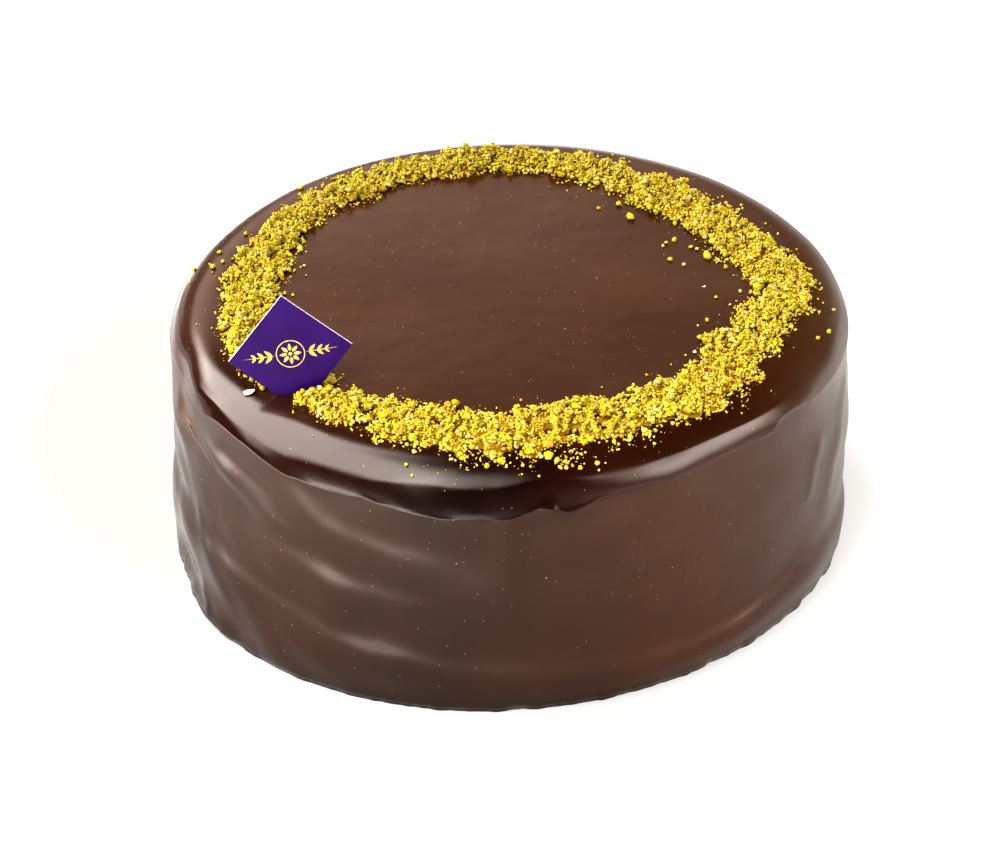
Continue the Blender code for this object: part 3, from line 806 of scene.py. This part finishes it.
class Heap:
    """How high the crumbs lie above the glaze, on a square grid of cells."""

    CELL = 0.35 * MM
    REACH = 108 * MM

    def __init__(self):
        self.count = int(2 * self.REACH / self.CELL) + 1
        self.height = np.zeros((self.count, self.count))

    def cell(self, value):
        """A place along one side of the grid, in cells."""
        return (value + self.REACH) / self.CELL

    def add(self, place, size, tall, sink):
        """Rests a crumb on what is there, and returns the height of its underside."""
        radius = size / 2
        across = max(1, int(radius / self.CELL + 0.5))
        column, row = int(self.cell(place[0]) + 0.5), int(self.cell(place[1]) + 0.5)
        rows = slice(row - across, row + across + 1)
        columns = slice(column - across, column + across + 1)
        patch = self.height[rows, columns]
        steps = np.arange(-across, across + 1) * self.CELL / radius
        away = steps[:, None] ** 2 + steps[None, :] ** 2
        dome = np.sqrt(np.clip(1 - away, 0, 1))
        under = (patch * dome).sum() / dome.sum()
        base = under - sink * size
        patch[...] = np.maximum(patch, np.where(dome > 0, base + tall * (0.5 + 0.5 * dome), 0))
        return base

    def drop(self, places, sizes, heights, sink):
        """Rests crumbs on the heap in turn, and returns the heights of their undersides."""
        return np.array([self.add(*each, sink) for each in zip(places, sizes, heights)])

    def lay(self, place, height):
        """Raises the heap to the heights of a bed."""
        column = (self.cell(place[..., 0]) + 0.5).astype(int)
        row = (self.cell(place[..., 1]) + 0.5).astype(int)
        np.maximum.at(self.height, (row, column), height)


def ring_edges(angle):
    """Radii of the ring's inner and its outer edge, in mm."""
    return around(RING_INNER, angle), around(RING_OUTER, angle)


def ring_radius(share, angle):
    """Radii across the ring: -1 stands for its inner edge and 1 for its outer one."""
    inner, outer = ring_edges(angle)
    return ((inner + outer) / 2 + share * (outer - inner) / 2) * MM


def ring_share(place):
    """Where places lie across the ring: 0 in its middle, -1 and 1 at its edges."""
    angle, radius = polar(place)
    inner, outer = ring_edges(angle)
    return (2 * (radius / MM) - inner - outer) / (outer - inner)


def ripple(place):
    """How far the ring's edges waver at places, as a share of its half width."""
    fine = RING_FINE_SHARE * grain(place, RING_RIPPLE_FINE, 3)
    return RING_RAGGED * (grain(place, RING_RIPPLE) + fine)


def clumps(place, low, high):
    """1 in the clumps that the crumbs lie in, and 0 in the holes between them."""
    return smooth(grain(place, RING_CLUMP, 5), low, high)


def scatter(draw, count, edge, fade, stray):
    """Random places in the ring: full up to edge, gone a fade further, and a few strays beyond."""
    kept = []
    found = 0
    while found < count:
        angle = draw.uniform(0, 360, count)
        share = draw.uniform(-1, 1, count) * STRAY_LIMIT
        radius = ring_radius(share, angle)
        place = on_plan(radius, angle)
        chance = 1 - smooth(np.abs(share) + ripple(place), edge, edge + fade)
        chance += stray * np.clip(1 - np.abs(share) / STRAY_LIMIT, 0, 1)
        holes = RING_HOLES + (1 - RING_HOLES) * clumps(place, *CRUMB_CLUMPS)
        chance *= radius / SPREAD_RADIUS * holes
        good = (draw.uniform(0, 1, count) < chance) & (radius < CRUMB_FARTHEST)
        good &= room_at_card(place, CARD_CRUMB_ROOM, FINE_CORNER) > 0
        kept.append(place[good])
        found += good.sum()
    return np.concatenate(kept)[:count]


def lump_places():
    """Places and sizes of the lumps, as in the CAD: the largest first, spread evenly."""
    draw = random.Random(CRUMB_SEED)
    placed = []
    for i in range(CRUMB_TRIES):
        angle = (360 * EVEN_TURN * i + draw.uniform(-LUMP_WANDER, LUMP_WANDER)) % 360
        across = (EVEN_TURN * EVEN_TURN * i % 1 * 2 - 1) * draw.uniform(*LUMP_ACROSS)
        smaller = (i / CRUMB_TRIES) ** LUMP_SIZE_POWER
        size = CRUMB_LARGEST + (CRUMB_SMALLEST - CRUMB_LARGEST) * smaller
        inner, outer = (float(edge) * MM for edge in ring_edges(angle))
        radius = (inner + outer) / 2 + across * ((outer - inner) / 2 - LUMP_EDGE * size)
        place = on_plan(np.array(radius), np.array(angle))
        if room_at_card(place, CARD_FOOT_ROOM + LUMP_CARD_ROOM * size, BARE_CORNER) <= 0:
            continue
        if all(np.linalg.norm(place - other) > (size + wide) / 2 for other, wide in placed):
            placed.append((place, size))
    return [np.array(each) for each in zip(*placed)]


def nut_piece(name, vertices, faces, tints, material, smooth_shade=True):
    """One piece of pistachio, whose points share out among the tints in turn."""
    made = mesh_object(name, vertices, faces, smooth_shade)
    colours = np.concatenate([tints, np.ones((len(tints), 1))], 1)
    paint_points(made, "tint", np.repeat(colours, len(vertices) // len(tints), axis=0))
    made.data.materials.append(material)
    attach(made, "root")


def crumb_piece(name, faces, shapes, places, bases, tints, material):
    """One piece from many crumbs, each coloured on its own."""
    count, each = shapes.shape[:2]
    lift = surface_height(places) + bases - shapes[..., 2].min(1)
    spots = np.stack([places[:, 0], places[:, 1], lift], -1) + PLAN_SHIFT
    vertices = (shapes + spots[:, None]).reshape(-1, 3)
    starts = (np.arange(count) * each)[:, None, None]
    faces = (faces[None] + starts).reshape(-1, 3)
    nut_piece(name, vertices, faces, tints, material, each > PLAIN_POINTS)


def tinted(draw, tint, count):
    """Colours about a tint, lighter or darker and a little towards red or green."""
    shade = 1 + TINT_LIGHT * draw.uniform(-1, 1, (count, 1))
    lean = TINT_LEAN * draw.uniform(-1, 1, (count, 1)) * TINT_LEAN_HUE
    return np.clip(np.array(tint) * shade * (1 + lean), 0, 1)


def mixed_tints(draw, places):
    """Mostly yellow, some paler, some olive, a few green, tan and skin, with painted shade behind.
    """
    pick = draw.uniform(0, 1, len(places))
    out = np.zeros((len(places), 3))
    for (low, name), (high, _) in zip(TINT_SHARES, TINT_SHARES[1:]):
        chosen = (pick >= low) & (pick < high)
        out[chosen] = tinted(draw, TINTS[name], chosen.sum())
    return out * (1 - BACK_SHADE * places[:, 1] / CAKE_RADIUS)[:, None]


def bed_relief(place):
    """The bed's height over the glaze and the number of the grain at each place."""
    height = np.zeros(len(place))
    seed = np.zeros(len(place))
    for i, spot in enumerate((place / BED_CELL).tolist()):
        away, spots = noise.voronoi(spot)
        height[i] = max(0.0, 1 - (away[0] / BED_GRAIN) ** 2) ** 0.5
        seed[i] = (spots[0][0] * GRAIN_HASH[0] + spots[0][1] * GRAIN_HASH[1]) % 1
    cover = 1 - smooth(np.abs(ring_share(place)) + ripple(place), *BED_FADE)
    cover *= clumps(place, *BED_CLUMPS)
    cover *= smooth(room_at_card(place, 0, FINE_CORNER), 0, BED_CARD_FADE)
    return (BED_THICK + BED_DOME * height) * cover - BED_SUNK * (1 - cover), seed


def pistachio_bed(heap, material):
    """The low crust of fine meal that the loose crumbs lie on, in rows along the ring, tinted dark
    as painted shade between them.
    """
    angle = np.arange(BED_STEPS) * 360 / BED_STEPS
    shares = np.linspace(-BED_REACH, BED_REACH, BED_ROWS)
    place = np.concatenate([on_plan(ring_radius(share, angle), angle) for share in shares])
    height, seed = bed_relief(place)
    vertices = place + PLAN_SHIFT
    vertices[:, 2] = surface_height(place) + height
    faces = ring_faces(BED_ROWS, BED_STEPS)
    faces = faces[:, ::-1][(height[faces] > BED_HIDDEN).any(1)]
    used, again = np.unique(faces, return_inverse=True)
    # Painted shade between the crumbs, a little different in each grain
    tints = BED_SHADE_TINT * (BED_SHADE_LEAST + BED_SHADE_SPREAD * seed[used][:, None])
    nut_piece("pistachio_bed", vertices[used], again.reshape(faces.shape), tints, material)
    heap.lay(place, height)


def listed(things):
    """Places, sizes and tints of a list of things that lie at an angle and a radius."""
    angle, radius, size = np.array([thing[:3] for thing in things]).T
    tints = np.array([TINTS[thing[3] if len(thing) > 3 else "yellow"] for thing in things])
    return on_plan(radius * MM, angle), size * MM, tints


def crumb_kind(name, places, sizes, tints, heap, draw, material):
    """Every crumb of one kind, on the heap; without tints they get mixed ones."""
    fineness, lobes, width, ragged, cuts, sink = FORMS[name]
    vertices, faces = ball(fineness) if fineness else octahedron()
    shapes = crumb_shapes(draw, vertices, sizes, lobes, width, ragged, cuts)
    bases = heap.drop(places, sizes, np.ptp(shapes[..., 2], axis=1), sink)
    if tints is None:
        tints = mixed_tints(draw, places)
    crumb_piece(name, faces, shapes, places, bases, tints, material)


def flakes(heap, draw, material):
    """Thin bent flakes of nut skin and wafer: some listed and some spread over the ring."""
    vertices, faces = ball(2)
    places, sizes, tints = listed(FLAKES)
    places = np.concatenate([places, scatter(draw, LOOSE_FLAKES, *LOOSE_FLAKE_SPREAD)])
    sizes = np.concatenate([sizes, draw.uniform(*LOOSE_FLAKE_SIZES, LOOSE_FLAKES) * MM])
    chances = list(LOOSE_FLAKE_TINTS.values())
    names = draw.choice(list(LOOSE_FLAKE_TINTS), LOOSE_FLAKES, p=chances)
    tints = np.concatenate([tints, np.array([TINTS[name] for name in names])])
    shapes = crumb_shapes(draw, vertices, sizes, *FLAKE_FORM)
    shapes[..., 2] *= FLAKE_THINNESS
    shapes[..., 1] *= FLAKE_WIDTH
    bend = shapes[..., 0] ** 2 - shapes[..., 1] ** 2
    shapes[..., 2] += FLAKE_BEND * bend / sizes[:, None]
    turns = draw.uniform(-1, 1, (len(sizes), 3)) * (FLAKE_TILT, FLAKE_TILT, math.pi)
    matrices = [np.array(Euler(turn).to_matrix()).T for turn in turns]
    shapes = np.array([shape @ matrix for shape, matrix in zip(shapes, matrices)])
    bases = heap.drop(places, FLAKE_WIDTH * sizes, FLAKE_HEIGHT * sizes, FLAKE_SINK)
    crumb_piece("nut_flakes", faces, shapes, places, bases, tints, material)


def all_crumbs(material):
    """The bed and every kind of crumb, each resting on those before it."""
    heap = Heap()
    pistachio_bed(heap, material)
    draw = np.random.RandomState(CRUMB_DRAWS)
    crumb_kind("pistachio_lumps", *lump_places(), None, heap, draw, material)
    for name, (count, small, large, power, edge, fade, stray) in SPREADS.items():
        sizes = (small + (large - small) * draw.uniform(0, 1, count) ** power) * MM
        places = scatter(draw, count, edge, fade, stray)
        crumb_kind(name, places, sizes, None, heap, draw, material)
    crumb_kind("pistachio_strays", *listed(STRAYS), heap, draw, material)
    flakes(heap, draw, material)


# ---------------------------------------------------------------- the card
def card_pose():
    """From the card's own plane, with X to its right corner and Z to its top one, to its place."""
    turned = Euler((-CARD_LEAN, 0, CARD_TURN)).to_matrix().to_4x4()
    roll = Matrix.Rotation(-CARD_ROLL, 4, "Y")
    return Matrix.Translation(CARD_CENTRE + Vector(PLAN_SHIFT)) @ turned @ roll


def card_bow(x):
    """How far the card bends back at a place along its width."""
    return CARD_BOW * (x / CARD_SIDE) ** 2


def card_plate():
    """Vertices and faces of the bent plate: first its two sides, then its cut edge."""
    steps = np.linspace(-0.5, 0.5, CARD_STEPS + 1) * CARD_SIDE
    across, up = np.meshgrid(steps, steps)
    x = (across + up) * math.sqrt(0.5)
    z = (up - across) * math.sqrt(0.5)
    sheets = [np.stack([x, side * CARD_THICKNESS / 2 + card_bow(x), z], -1) for side in (-1, 1)]
    vertices = np.concatenate([sheet.reshape(-1, 3) for sheet in sheets])
    wide = CARD_STEPS + 1
    back = wide * wide
    sides = []
    for row in range(CARD_STEPS):
        for column in range(CARD_STEPS):
            i = row * wide + column
            sides.append((i, i + wide, i + wide + 1, i + 1))
            sides.append((back + i, back + i + 1, back + i + wide + 1, back + i + wide))
    rim = [*range(wide), *range(CARD_STEPS + wide, back, wide)]
    rim += [*range(back - 2, back - 1 - wide, -1), *range(wide * (CARD_STEPS - 1), 0, -wide)]
    cut = [(a, b, back + b, back + a) for a, b in zip(rim, rim[1:] + rim[:1])]
    return vertices.tolist(), sides, cut


def petal(turn, start, length, width):
    """The outline of a pointed leaf, in the card's plane."""
    share = np.linspace(0, 1, PETAL_STEPS + 1)
    half = width / 2 * np.sin(math.pi * share ** PETAL_LOW) ** PETAL_FULL
    along = start + length * share
    right = np.stack([along, -half], -1)
    left = np.stack([along, half], -1)[-2:0:-1]
    way = np.array([[math.cos(turn), math.sin(turn)], [-math.sin(turn), math.cos(turn)]])
    return np.concatenate([right, left]) @ way


def ornament():
    """Outlines of the gilt ornament: a rosette, with a spray of leaves to each side."""
    turns = [math.tau * i / PETALS for i in range(PETALS)]
    outlines = [petal(turn, ROSETTE_EYE, ROSETTE_REACH, PETAL_WIDTH) for turn in turns]
    eye = petal(0, -EYE_LENGTH / 2 * ROSETTE_EYE, EYE_LENGTH * ROSETTE_EYE, EYE_WIDTH * ROSETTE_EYE)
    outlines.append(eye)
    for side in (1, -1):
        leaves = []
        for i, place in enumerate(LEAF_PLACES):
            size = LEAF_LENGTH * (1 - LEAF_SHRINK * i)
            for lean in (LEAF_LEAN, -LEAF_LEAN):
                leaves.append(petal(lean, 0, size, size * LEAF_SHARE) + np.array([place, 0]))
        leaves.append(petal(0, STEM_START, STEM_LENGTH, STEM_WIDTH))
        outlines += [(outline * (side, 1))[::side] for outline in leaves]
    return outlines


def card_piece(face, edge, gilt):
    """The card: a thin bent plate with white cut edges and a flat gilt ornament on its front."""
    vertices, faces, cut = card_plate()
    kinds = [CARD_FACE] * len(faces) + [CARD_EDGE] * len(cut)
    faces += cut

    def loop(outline, proud):
        """Adds the points of an outline that stands out of the card, and returns its number."""
        front = -CARD_THICKNESS / 2 - proud
        vertices.extend((x, front + card_bow(x), z) for x, z in outline)
        return len(vertices) - len(outline)

    for outline in ornament():
        count = len(outline)
        high, low = loop(outline, GILT_PROUD), loop(outline, -GILT_PROUD)
        faces += [list(range(high, high + count)), list(range(low, low + count))[::-1]]
        faces += walls(high, low, count)
    turn = np.linspace(0, math.tau, GILT_RING_STEPS, endpoint=False)
    way = np.stack([np.cos(turn), np.sin(turn)], -1)
    inner = way * (GILT_RING_REACH - GILT_RING_LINE / 2)
    outer = way * (GILT_RING_REACH + GILT_RING_LINE / 2)
    loops = [loop(inner, GILT_PROUD), loop(outer, GILT_PROUD)]
    loops += [loop(outer, -GILT_PROUD), loop(inner, -GILT_PROUD)]
    for here, there in zip(loops, loops[1:] + loops[:1]):
        faces += walls(here, there, GILT_RING_STEPS)
    kinds += [CARD_GILT] * (len(faces) - len(kinds))
    made = mesh_object("card_plate", vertices, faces, False)
    made.data.transform(card_pose())
    for each in (face, edge, gilt):
        made.data.materials.append(each)
    made.data.polygons.foreach_set("material_index", kinds)
    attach(made, "root")
    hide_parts("card")


# ---------------------------------------------------------------- materials
GLAZE_IOR = 1.47
GLAZE_GLEAM = (1, 0.93, 0.88, 1)
GLAZE_BASE = (0.0275, 0.0086, 0.0021, 1)
GLAZE_WARM = (0.0295, 0.0088, 0.0018, 1)
GLAZE_PATCHES = (0.86, 1.14)
GLOSS_UNEVEN = 0.025
CLOUD_RANGE = (0.3, 0.7)
# Specks: size of their cells, radius, the share of the cells that has one, and colour
SPECKS = (
    (5 * MM, 0.28 * MM, 0.30, (0.28, 0.15, 0.05, 1)),
    (2.6 * MM, 0.21 * MM, 0.42, (0.22, 0.12, 0.045, 1)),
    (11 * MM, 0.42 * MM, 0.22, (0.13, 0.018, 0.006, 1)),
)
# The glaze's skin: size, detail and height of its soft and its fine relief
GLAZE_RELIEF = ((9 * MM, 1, 0.055 * MM), (0.9 * MM, 2, 0.015 * MM))
NUT_MOTTLE = (0.86, 1.14)
CARD_PURPLE = (0.0240, 0.0044, 0.069, 1)
CARD_PURPLE_DEEP = (0.0192, 0.0034, 0.057, 1)
CORE_WHITE = (0.62, 0.61, 0.63, 1)
CORE_GREY = (0.50, 0.48, 0.52, 1)
GILT_BRIGHT = (0.42, 0.31, 0.08, 1)
GILT_WORN = (0.28, 0.20, 0.05, 1)


def put(tree, node, inputs):
    """Sets a node's inputs by name, each to a link or to a constant."""
    for key, value in inputs.items():
        if isinstance(value, bpy.types.NodeSocket):
            tree.links.new(value, node.inputs[key])
        else:
            node.inputs[key].default_value = value


def add(tree, kind, inputs=None, **settings):
    """A new node, with its properties and its inputs."""
    node = tree.nodes.new("ShaderNode" + kind)
    for key, value in settings.items():
        setattr(node, key, value)
    put(tree, node, inputs or {})
    return node


def new_material(name):
    """A new material, its node tree, its Principled shader and places on the piece in metres."""
    made = bpy.data.materials.new(name)
    made.use_nodes = True
    tree = made.node_tree
    return made, tree, tree.nodes["Principled BSDF"], add(tree, "TexCoord").outputs["Object"]


def clouds(tree, place, size, detail):
    """Noise from about 0.3 to 0.7 with lumps of a size."""
    inputs = {"Vector": place, "Scale": 1 / size, "Detail": detail}
    return add(tree, "TexNoise", inputs).outputs["Fac"]


def ranged(tree, value, low, high, to_low, to_high):
    """A value taken evenly from one range to another."""
    limits = {"From Min": low, "From Max": high, "To Min": to_low, "To Max": to_high}
    return add(tree, "MapRange", {"Value": value, **limits}).outputs["Result"]


def cloudy(tree, place, size, detail, low, high):
    """A value that goes from low to high in clouds of a size."""
    return ranged(tree, clouds(tree, place, size, detail), *CLOUD_RANGE, low, high)


def maths(tree, operation, first, second=0.0):
    """The result of an operation on two values, each a link or a constant."""
    return add(tree, "Math", {0: first, 1: second}, operation=operation).outputs["Value"]


def specks(tree, place, size, radius, share):
    """1 in small round specks, one in some of the cells of a size, and 0 elsewhere."""
    cells = add(tree, "TexVoronoi", {"Vector": place, "Scale": 1 / size}).outputs
    near = ranged(tree, cells["Distance"], radius / size, 0.6 * radius / size, 0, 1)
    pick = add(tree, "SeparateColor", {"Color": cells["Color"]}).outputs["Red"]
    return maths(tree, "MULTIPLY", near, maths(tree, "LESS_THAN", pick, share))


def shaded(tree, colour, value):
    """A colour made lighter or darker by a value."""
    inputs = {"Vector": colour, "Scale": value}
    return add(tree, "VectorMath", inputs, operation="SCALE").outputs[0]


def mixed(tree, share, first, second):
    """A colour between two colours, each a link or a constant."""
    inputs = {"Factor": share, 6: first, 7: second}
    return add(tree, "Mix", inputs, data_type="RGBA").outputs[2]


def bumped(tree, height, distance, before=None):
    """A normal with fine relief of a height that value 1 stands for."""
    links = {"Height": height, "Distance": distance}
    if before:
        links["Normal"] = before
    return add(tree, "Bump", links).outputs["Normal"]


def glaze_material():
    """Dark glaze with its points' painted light and shade, a soft leathery skin, uneven gloss, and
    a few pale and reddish specks.
    """
    made, tree, shader, place = new_material("chocolate_glaze")
    # The painted light and shade, with the thin spots' tone, and the roughness
    paint = add(tree, "VertexColor", layer_name="shade_and_tone").outputs
    warm = ranged(tree, clouds(tree, place, 60 * MM, 1), 0.4, 0.7, 0, 1)
    base = mixed(tree, warm, GLAZE_BASE, GLAZE_WARM)
    base = add(tree, "VectorMath", {0: base, 1: paint["Color"]}, operation="MULTIPLY").outputs[0]
    base = shaded(tree, base, cloudy(tree, place, 30 * MM, 3, *GLAZE_PATCHES))
    for size, radius, share, colour in SPECKS:
        base = mixed(tree, specks(tree, place, size, radius, share), base, colour)
    uneven = clouds(tree, place, 14 * MM, 3)
    uneven = ranged(tree, uneven, 0.35, 0.65, -GLOSS_UNEVEN, GLOSS_UNEVEN)
    normal = None
    for size, detail, height in GLAZE_RELIEF:
        normal = bumped(tree, clouds(tree, place, size, detail), height, normal)
    put(tree, shader, {
        "Base Color": base,
        "Roughness": maths(tree, "ADD", paint["Alpha"], uneven),
        "IOR": GLAZE_IOR,
        "Specular Tint": GLAZE_GLEAM,
        "Normal": normal,
    })
    return made


def pistachio_material():
    """Dry crushed nut: each crumb's own tint, mottled, with a grainy broken surface."""
    made, tree, shader, place = new_material("crushed_pistachio")
    tint = add(tree, "VertexColor", layer_name="tint").outputs["Color"]
    mottle = cloudy(tree, place, 0.7 * MM, 3, *NUT_MOTTLE)
    put(tree, shader, {
        "Base Color": shaded(tree, tint, mottle),
        "Roughness": 0.6,
        "Specular IOR Level": 0.12,
        "Normal": bumped(tree, clouds(tree, place, 0.35 * MM, 3), 0.09 * MM),
    })
    return made


def card_face_material():
    """Coated purple card, with an even print and a faint fibre."""
    made, tree, shader, place = new_material("card_face")
    deep = ranged(tree, clouds(tree, place, 6 * MM, 4), 0.35, 0.65, 0, 1)
    put(tree, shader, {
        "Base Color": mixed(tree, deep, CARD_PURPLE, CARD_PURPLE_DEEP),
        "Roughness": cloudy(tree, place, 2 * MM, 3, 0.34, 0.44),
        "Specular IOR Level": 0.08,
        "Normal": bumped(tree, clouds(tree, place, 0.4 * MM, 3), 0.01 * MM),
    })
    return made


def card_edge_material():
    """The white core of the card, where it was cut."""
    made, tree, shader, place = new_material("card_edge")
    fibres = cloudy(tree, place, 0.3 * MM, 3, 0, 1)
    put(tree, shader, {
        "Base Color": mixed(tree, fibres, CORE_WHITE, CORE_GREY),
        "Roughness": 0.8,
        "Normal": bumped(tree, fibres, 0.03 * MM),
    })
    return made


def gilt_material():
    """Gold foil that was pressed on, a little uneven."""
    made, tree, shader, place = new_material("card_gilt")
    worn = cloudy(tree, place, 1.2 * MM, 3, 0, 1)
    put(tree, shader, {
        "Base Color": mixed(tree, worn, GILT_BRIGHT, GILT_WORN),
        "Metallic": 1.0,
        "Roughness": ranged(tree, worn, 0, 1, 0.28, 0.45),
        "Normal": bumped(tree, worn, 0.02 * MM),
    })
    return made


# ---------------------------------------------------------------- the stage
# Soft panels: colour, then azimuth, half width and blur, elevation, half height and blur, all in
# degrees, and brightness
WHITE = (1, 0.975, 0.945)
WARM = (1, 0.83, 0.74)
PANELS = {
    "left": (WHITE, (187.5, 62.5, 6, 48, 26, 7, 8.0)),
    "front": (WHITE, (256, 18, 16, 48, 16, 9, 6.5)),
    "right strip": (WHITE, (338, 26, 12, 20, 11, 9, 8.7)),
    "behind": (WARM, (118, 31, 10, 23, 8, 3, 1.78)),
    "behind low": (WHITE, (118, 40, 15, 0, 15, 6, 0.25)),
    "back right": (WARM, (45, 40, 15, 15, 20, 8, 0.3)),
}
ROOM_DARK = (0.030, 0.022, 0.018)
FLOOR_SIZE = 8
FLOOR_BASE = (0.18, 0.18, 0.18, 1)
FLOOR_LIGHT = (1, 0.985, 0.96, 1)
# The glow is painted light on the floor, brightest far off at the left, dimmest near the cake.
# The floor's own glow close to the cake, at its left and at its right, and between which places
# along X the one goes over into the other. Far off it grows to the far glow, which is weakest
# at the right and strongest at the left.
FLOOR_GLOW = (0.18, 0.57)
FLOOR_GLOW_ACROSS = (0.03, 0.12)
FLOOR_FAR_GLOW = (0.8, 7.2)
FLOOR_FAR_ACROSS = (0.10, -0.16)
# The far glow sets in and is full at these distances from the floor's darkest place
FLOOR_DARKEST = (-0.03, 0.06, 0)
FLOOR_REACH = (0.115, 0.50)
FLOOR_RISE = 1.35
# Behind at the left the far glow is held off: from here on towards -X and towards +Y
FLAG_LEFT = (-0.19, -0.25)
FLAG_BACK = (0.02, 0.12)


def panel_glow(tree, way, rise, panel):
    """How bright one soft panel is in a direction: full inside it, with blurred edges."""
    azimuth, half, blur, elevation, half_high, blur_high, brightness = panel
    inputs = {"Vector": way, "Angle": -math.radians(azimuth)}
    turned = add(tree, "VectorRotate", inputs, rotation_type="Z_AXIS").outputs["Vector"]
    split = add(tree, "SeparateXYZ", {"Vector": turned}).outputs
    beside = maths(tree, "ABSOLUTE", maths(tree, "ARCTAN2", split["Y"], split["X"]))
    above = maths(tree, "ABSOLUTE", maths(tree, "SUBTRACT", rise, math.radians(elevation)))
    wide = faded(tree, beside, half, blur, brightness)
    return maths(tree, "MULTIPLY", wide, faded(tree, above, half_high, blur_high, 1))


def faded(tree, off, half, blur, full):
    """full up to half minus blur degrees, and nothing past half plus blur."""
    start, end = math.radians(half + blur), math.radians(half - blur)
    inputs = {"Value": off, "From Min": start, "From Max": end, "To Max": full}
    return add(tree, "MapRange", inputs, interpolation_type="SMOOTHSTEP").outputs["Result"]


def surround():
    """The studio around the cake: soft panels in a dim warm room."""
    world = bpy.data.worlds.new("surround")
    world.use_nodes = True
    tree = world.node_tree
    way = add(tree, "TexCoord").outputs["Generated"]
    height = add(tree, "SeparateXYZ", {"Vector": way}).outputs["Z"]
    rise = maths(tree, "ARCSINE", height)
    light = ROOM_DARK
    for colour, panel in PANELS.values():
        lit = shaded(tree, colour, panel_glow(tree, way, rise, panel))
        light = add(tree, "VectorMath", {0: light, 1: lit}, operation="ADD").outputs[0]
    put(tree, tree.nodes["Background"], {"Color": light})
    bpy.context.scene.world = world


def floor_glow(tree):
    """How brightly the floor glows at each of its places."""
    place = add(tree, "NewGeometry").outputs["Position"]
    split = add(tree, "SeparateXYZ", {"Vector": place}).outputs
    inputs = {0: place, 1: FLOOR_DARKEST}
    away = add(tree, "VectorMath", inputs, operation="DISTANCE").outputs["Value"]
    rise = maths(tree, "POWER", ranged(tree, away, *FLOOR_REACH, 0, 1), FLOOR_RISE)
    far = ranged(tree, split["X"], *FLOOR_FAR_ACROSS, *FLOOR_FAR_GLOW)
    left = ranged(tree, split["X"], *FLAG_LEFT, 0, 1)
    flagged = maths(tree, "MULTIPLY", left, ranged(tree, split["Y"], *FLAG_BACK, 0, 1))
    far = maths(tree, "MULTIPLY", far, ranged(tree, flagged, 0, 1, 1, 0))
    near = ranged(tree, split["X"], *FLOOR_GLOW_ACROSS, *FLOOR_GLOW)
    return maths(tree, "ADD", near, maths(tree, "MULTIPLY", rise, far))


def studio():
    """Pale floor, the soft panels and the room."""
    bpy.ops.mesh.primitive_plane_add(size=FLOOR_SIZE, location=(0, 0, -0.1 * MM))
    floor = bpy.context.object
    floor.name = "floor"
    made, tree, shader, _ = new_material("floor_paper")
    put(tree, shader, {
        "Base Color": FLOOR_BASE,
        "Roughness": 0.9,
        "Emission Color": FLOOR_LIGHT,
        "Emission Strength": floor_glow(tree),
    })
    floor.data.materials.append(made)
    surround()
    bpy.context.scene.view_settings.view_transform = "Standard"
    bpy.context.scene.view_settings.look = "High Contrast"


def photograph_camera():
    """The camera of the photograph, with its small shift."""
    data = bpy.data.cameras.new("camera")
    data.sensor_width = SENSOR
    data.lens = FOCAL_PIXELS / IMAGE_WIDTH * SENSOR
    data.shift_x = (IMAGE_WIDTH / 2 - TARGET_PIXEL[0]) / IMAGE_WIDTH
    data.shift_y = (TARGET_PIXEL[1] - IMAGE_HEIGHT / 2) / IMAGE_WIDTH
    data.clip_start = 0.05
    made = bpy.data.objects.new("camera", data)
    up, back = math.sin(CAMERA_ELEVATION), math.cos(CAMERA_ELEVATION)
    made.location = CAMERA_TARGET + CAMERA_DISTANCE * Vector((0, -back, up))
    made.rotation_euler = (math.pi / 2 - CAMERA_ELEVATION, 0, 0)
    bpy.context.scene.collection.objects.link(made)
    bpy.context.scene.camera = made


def main():
    studio()
    photograph_camera()
    glaze = glaze_skin()
    glaze.data.materials.append(glaze_material())
    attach(glaze, "root")
    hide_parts("cake")
    all_crumbs(pistachio_material())
    card_piece(card_face_material(), card_edge_material(), gilt_material())


main()
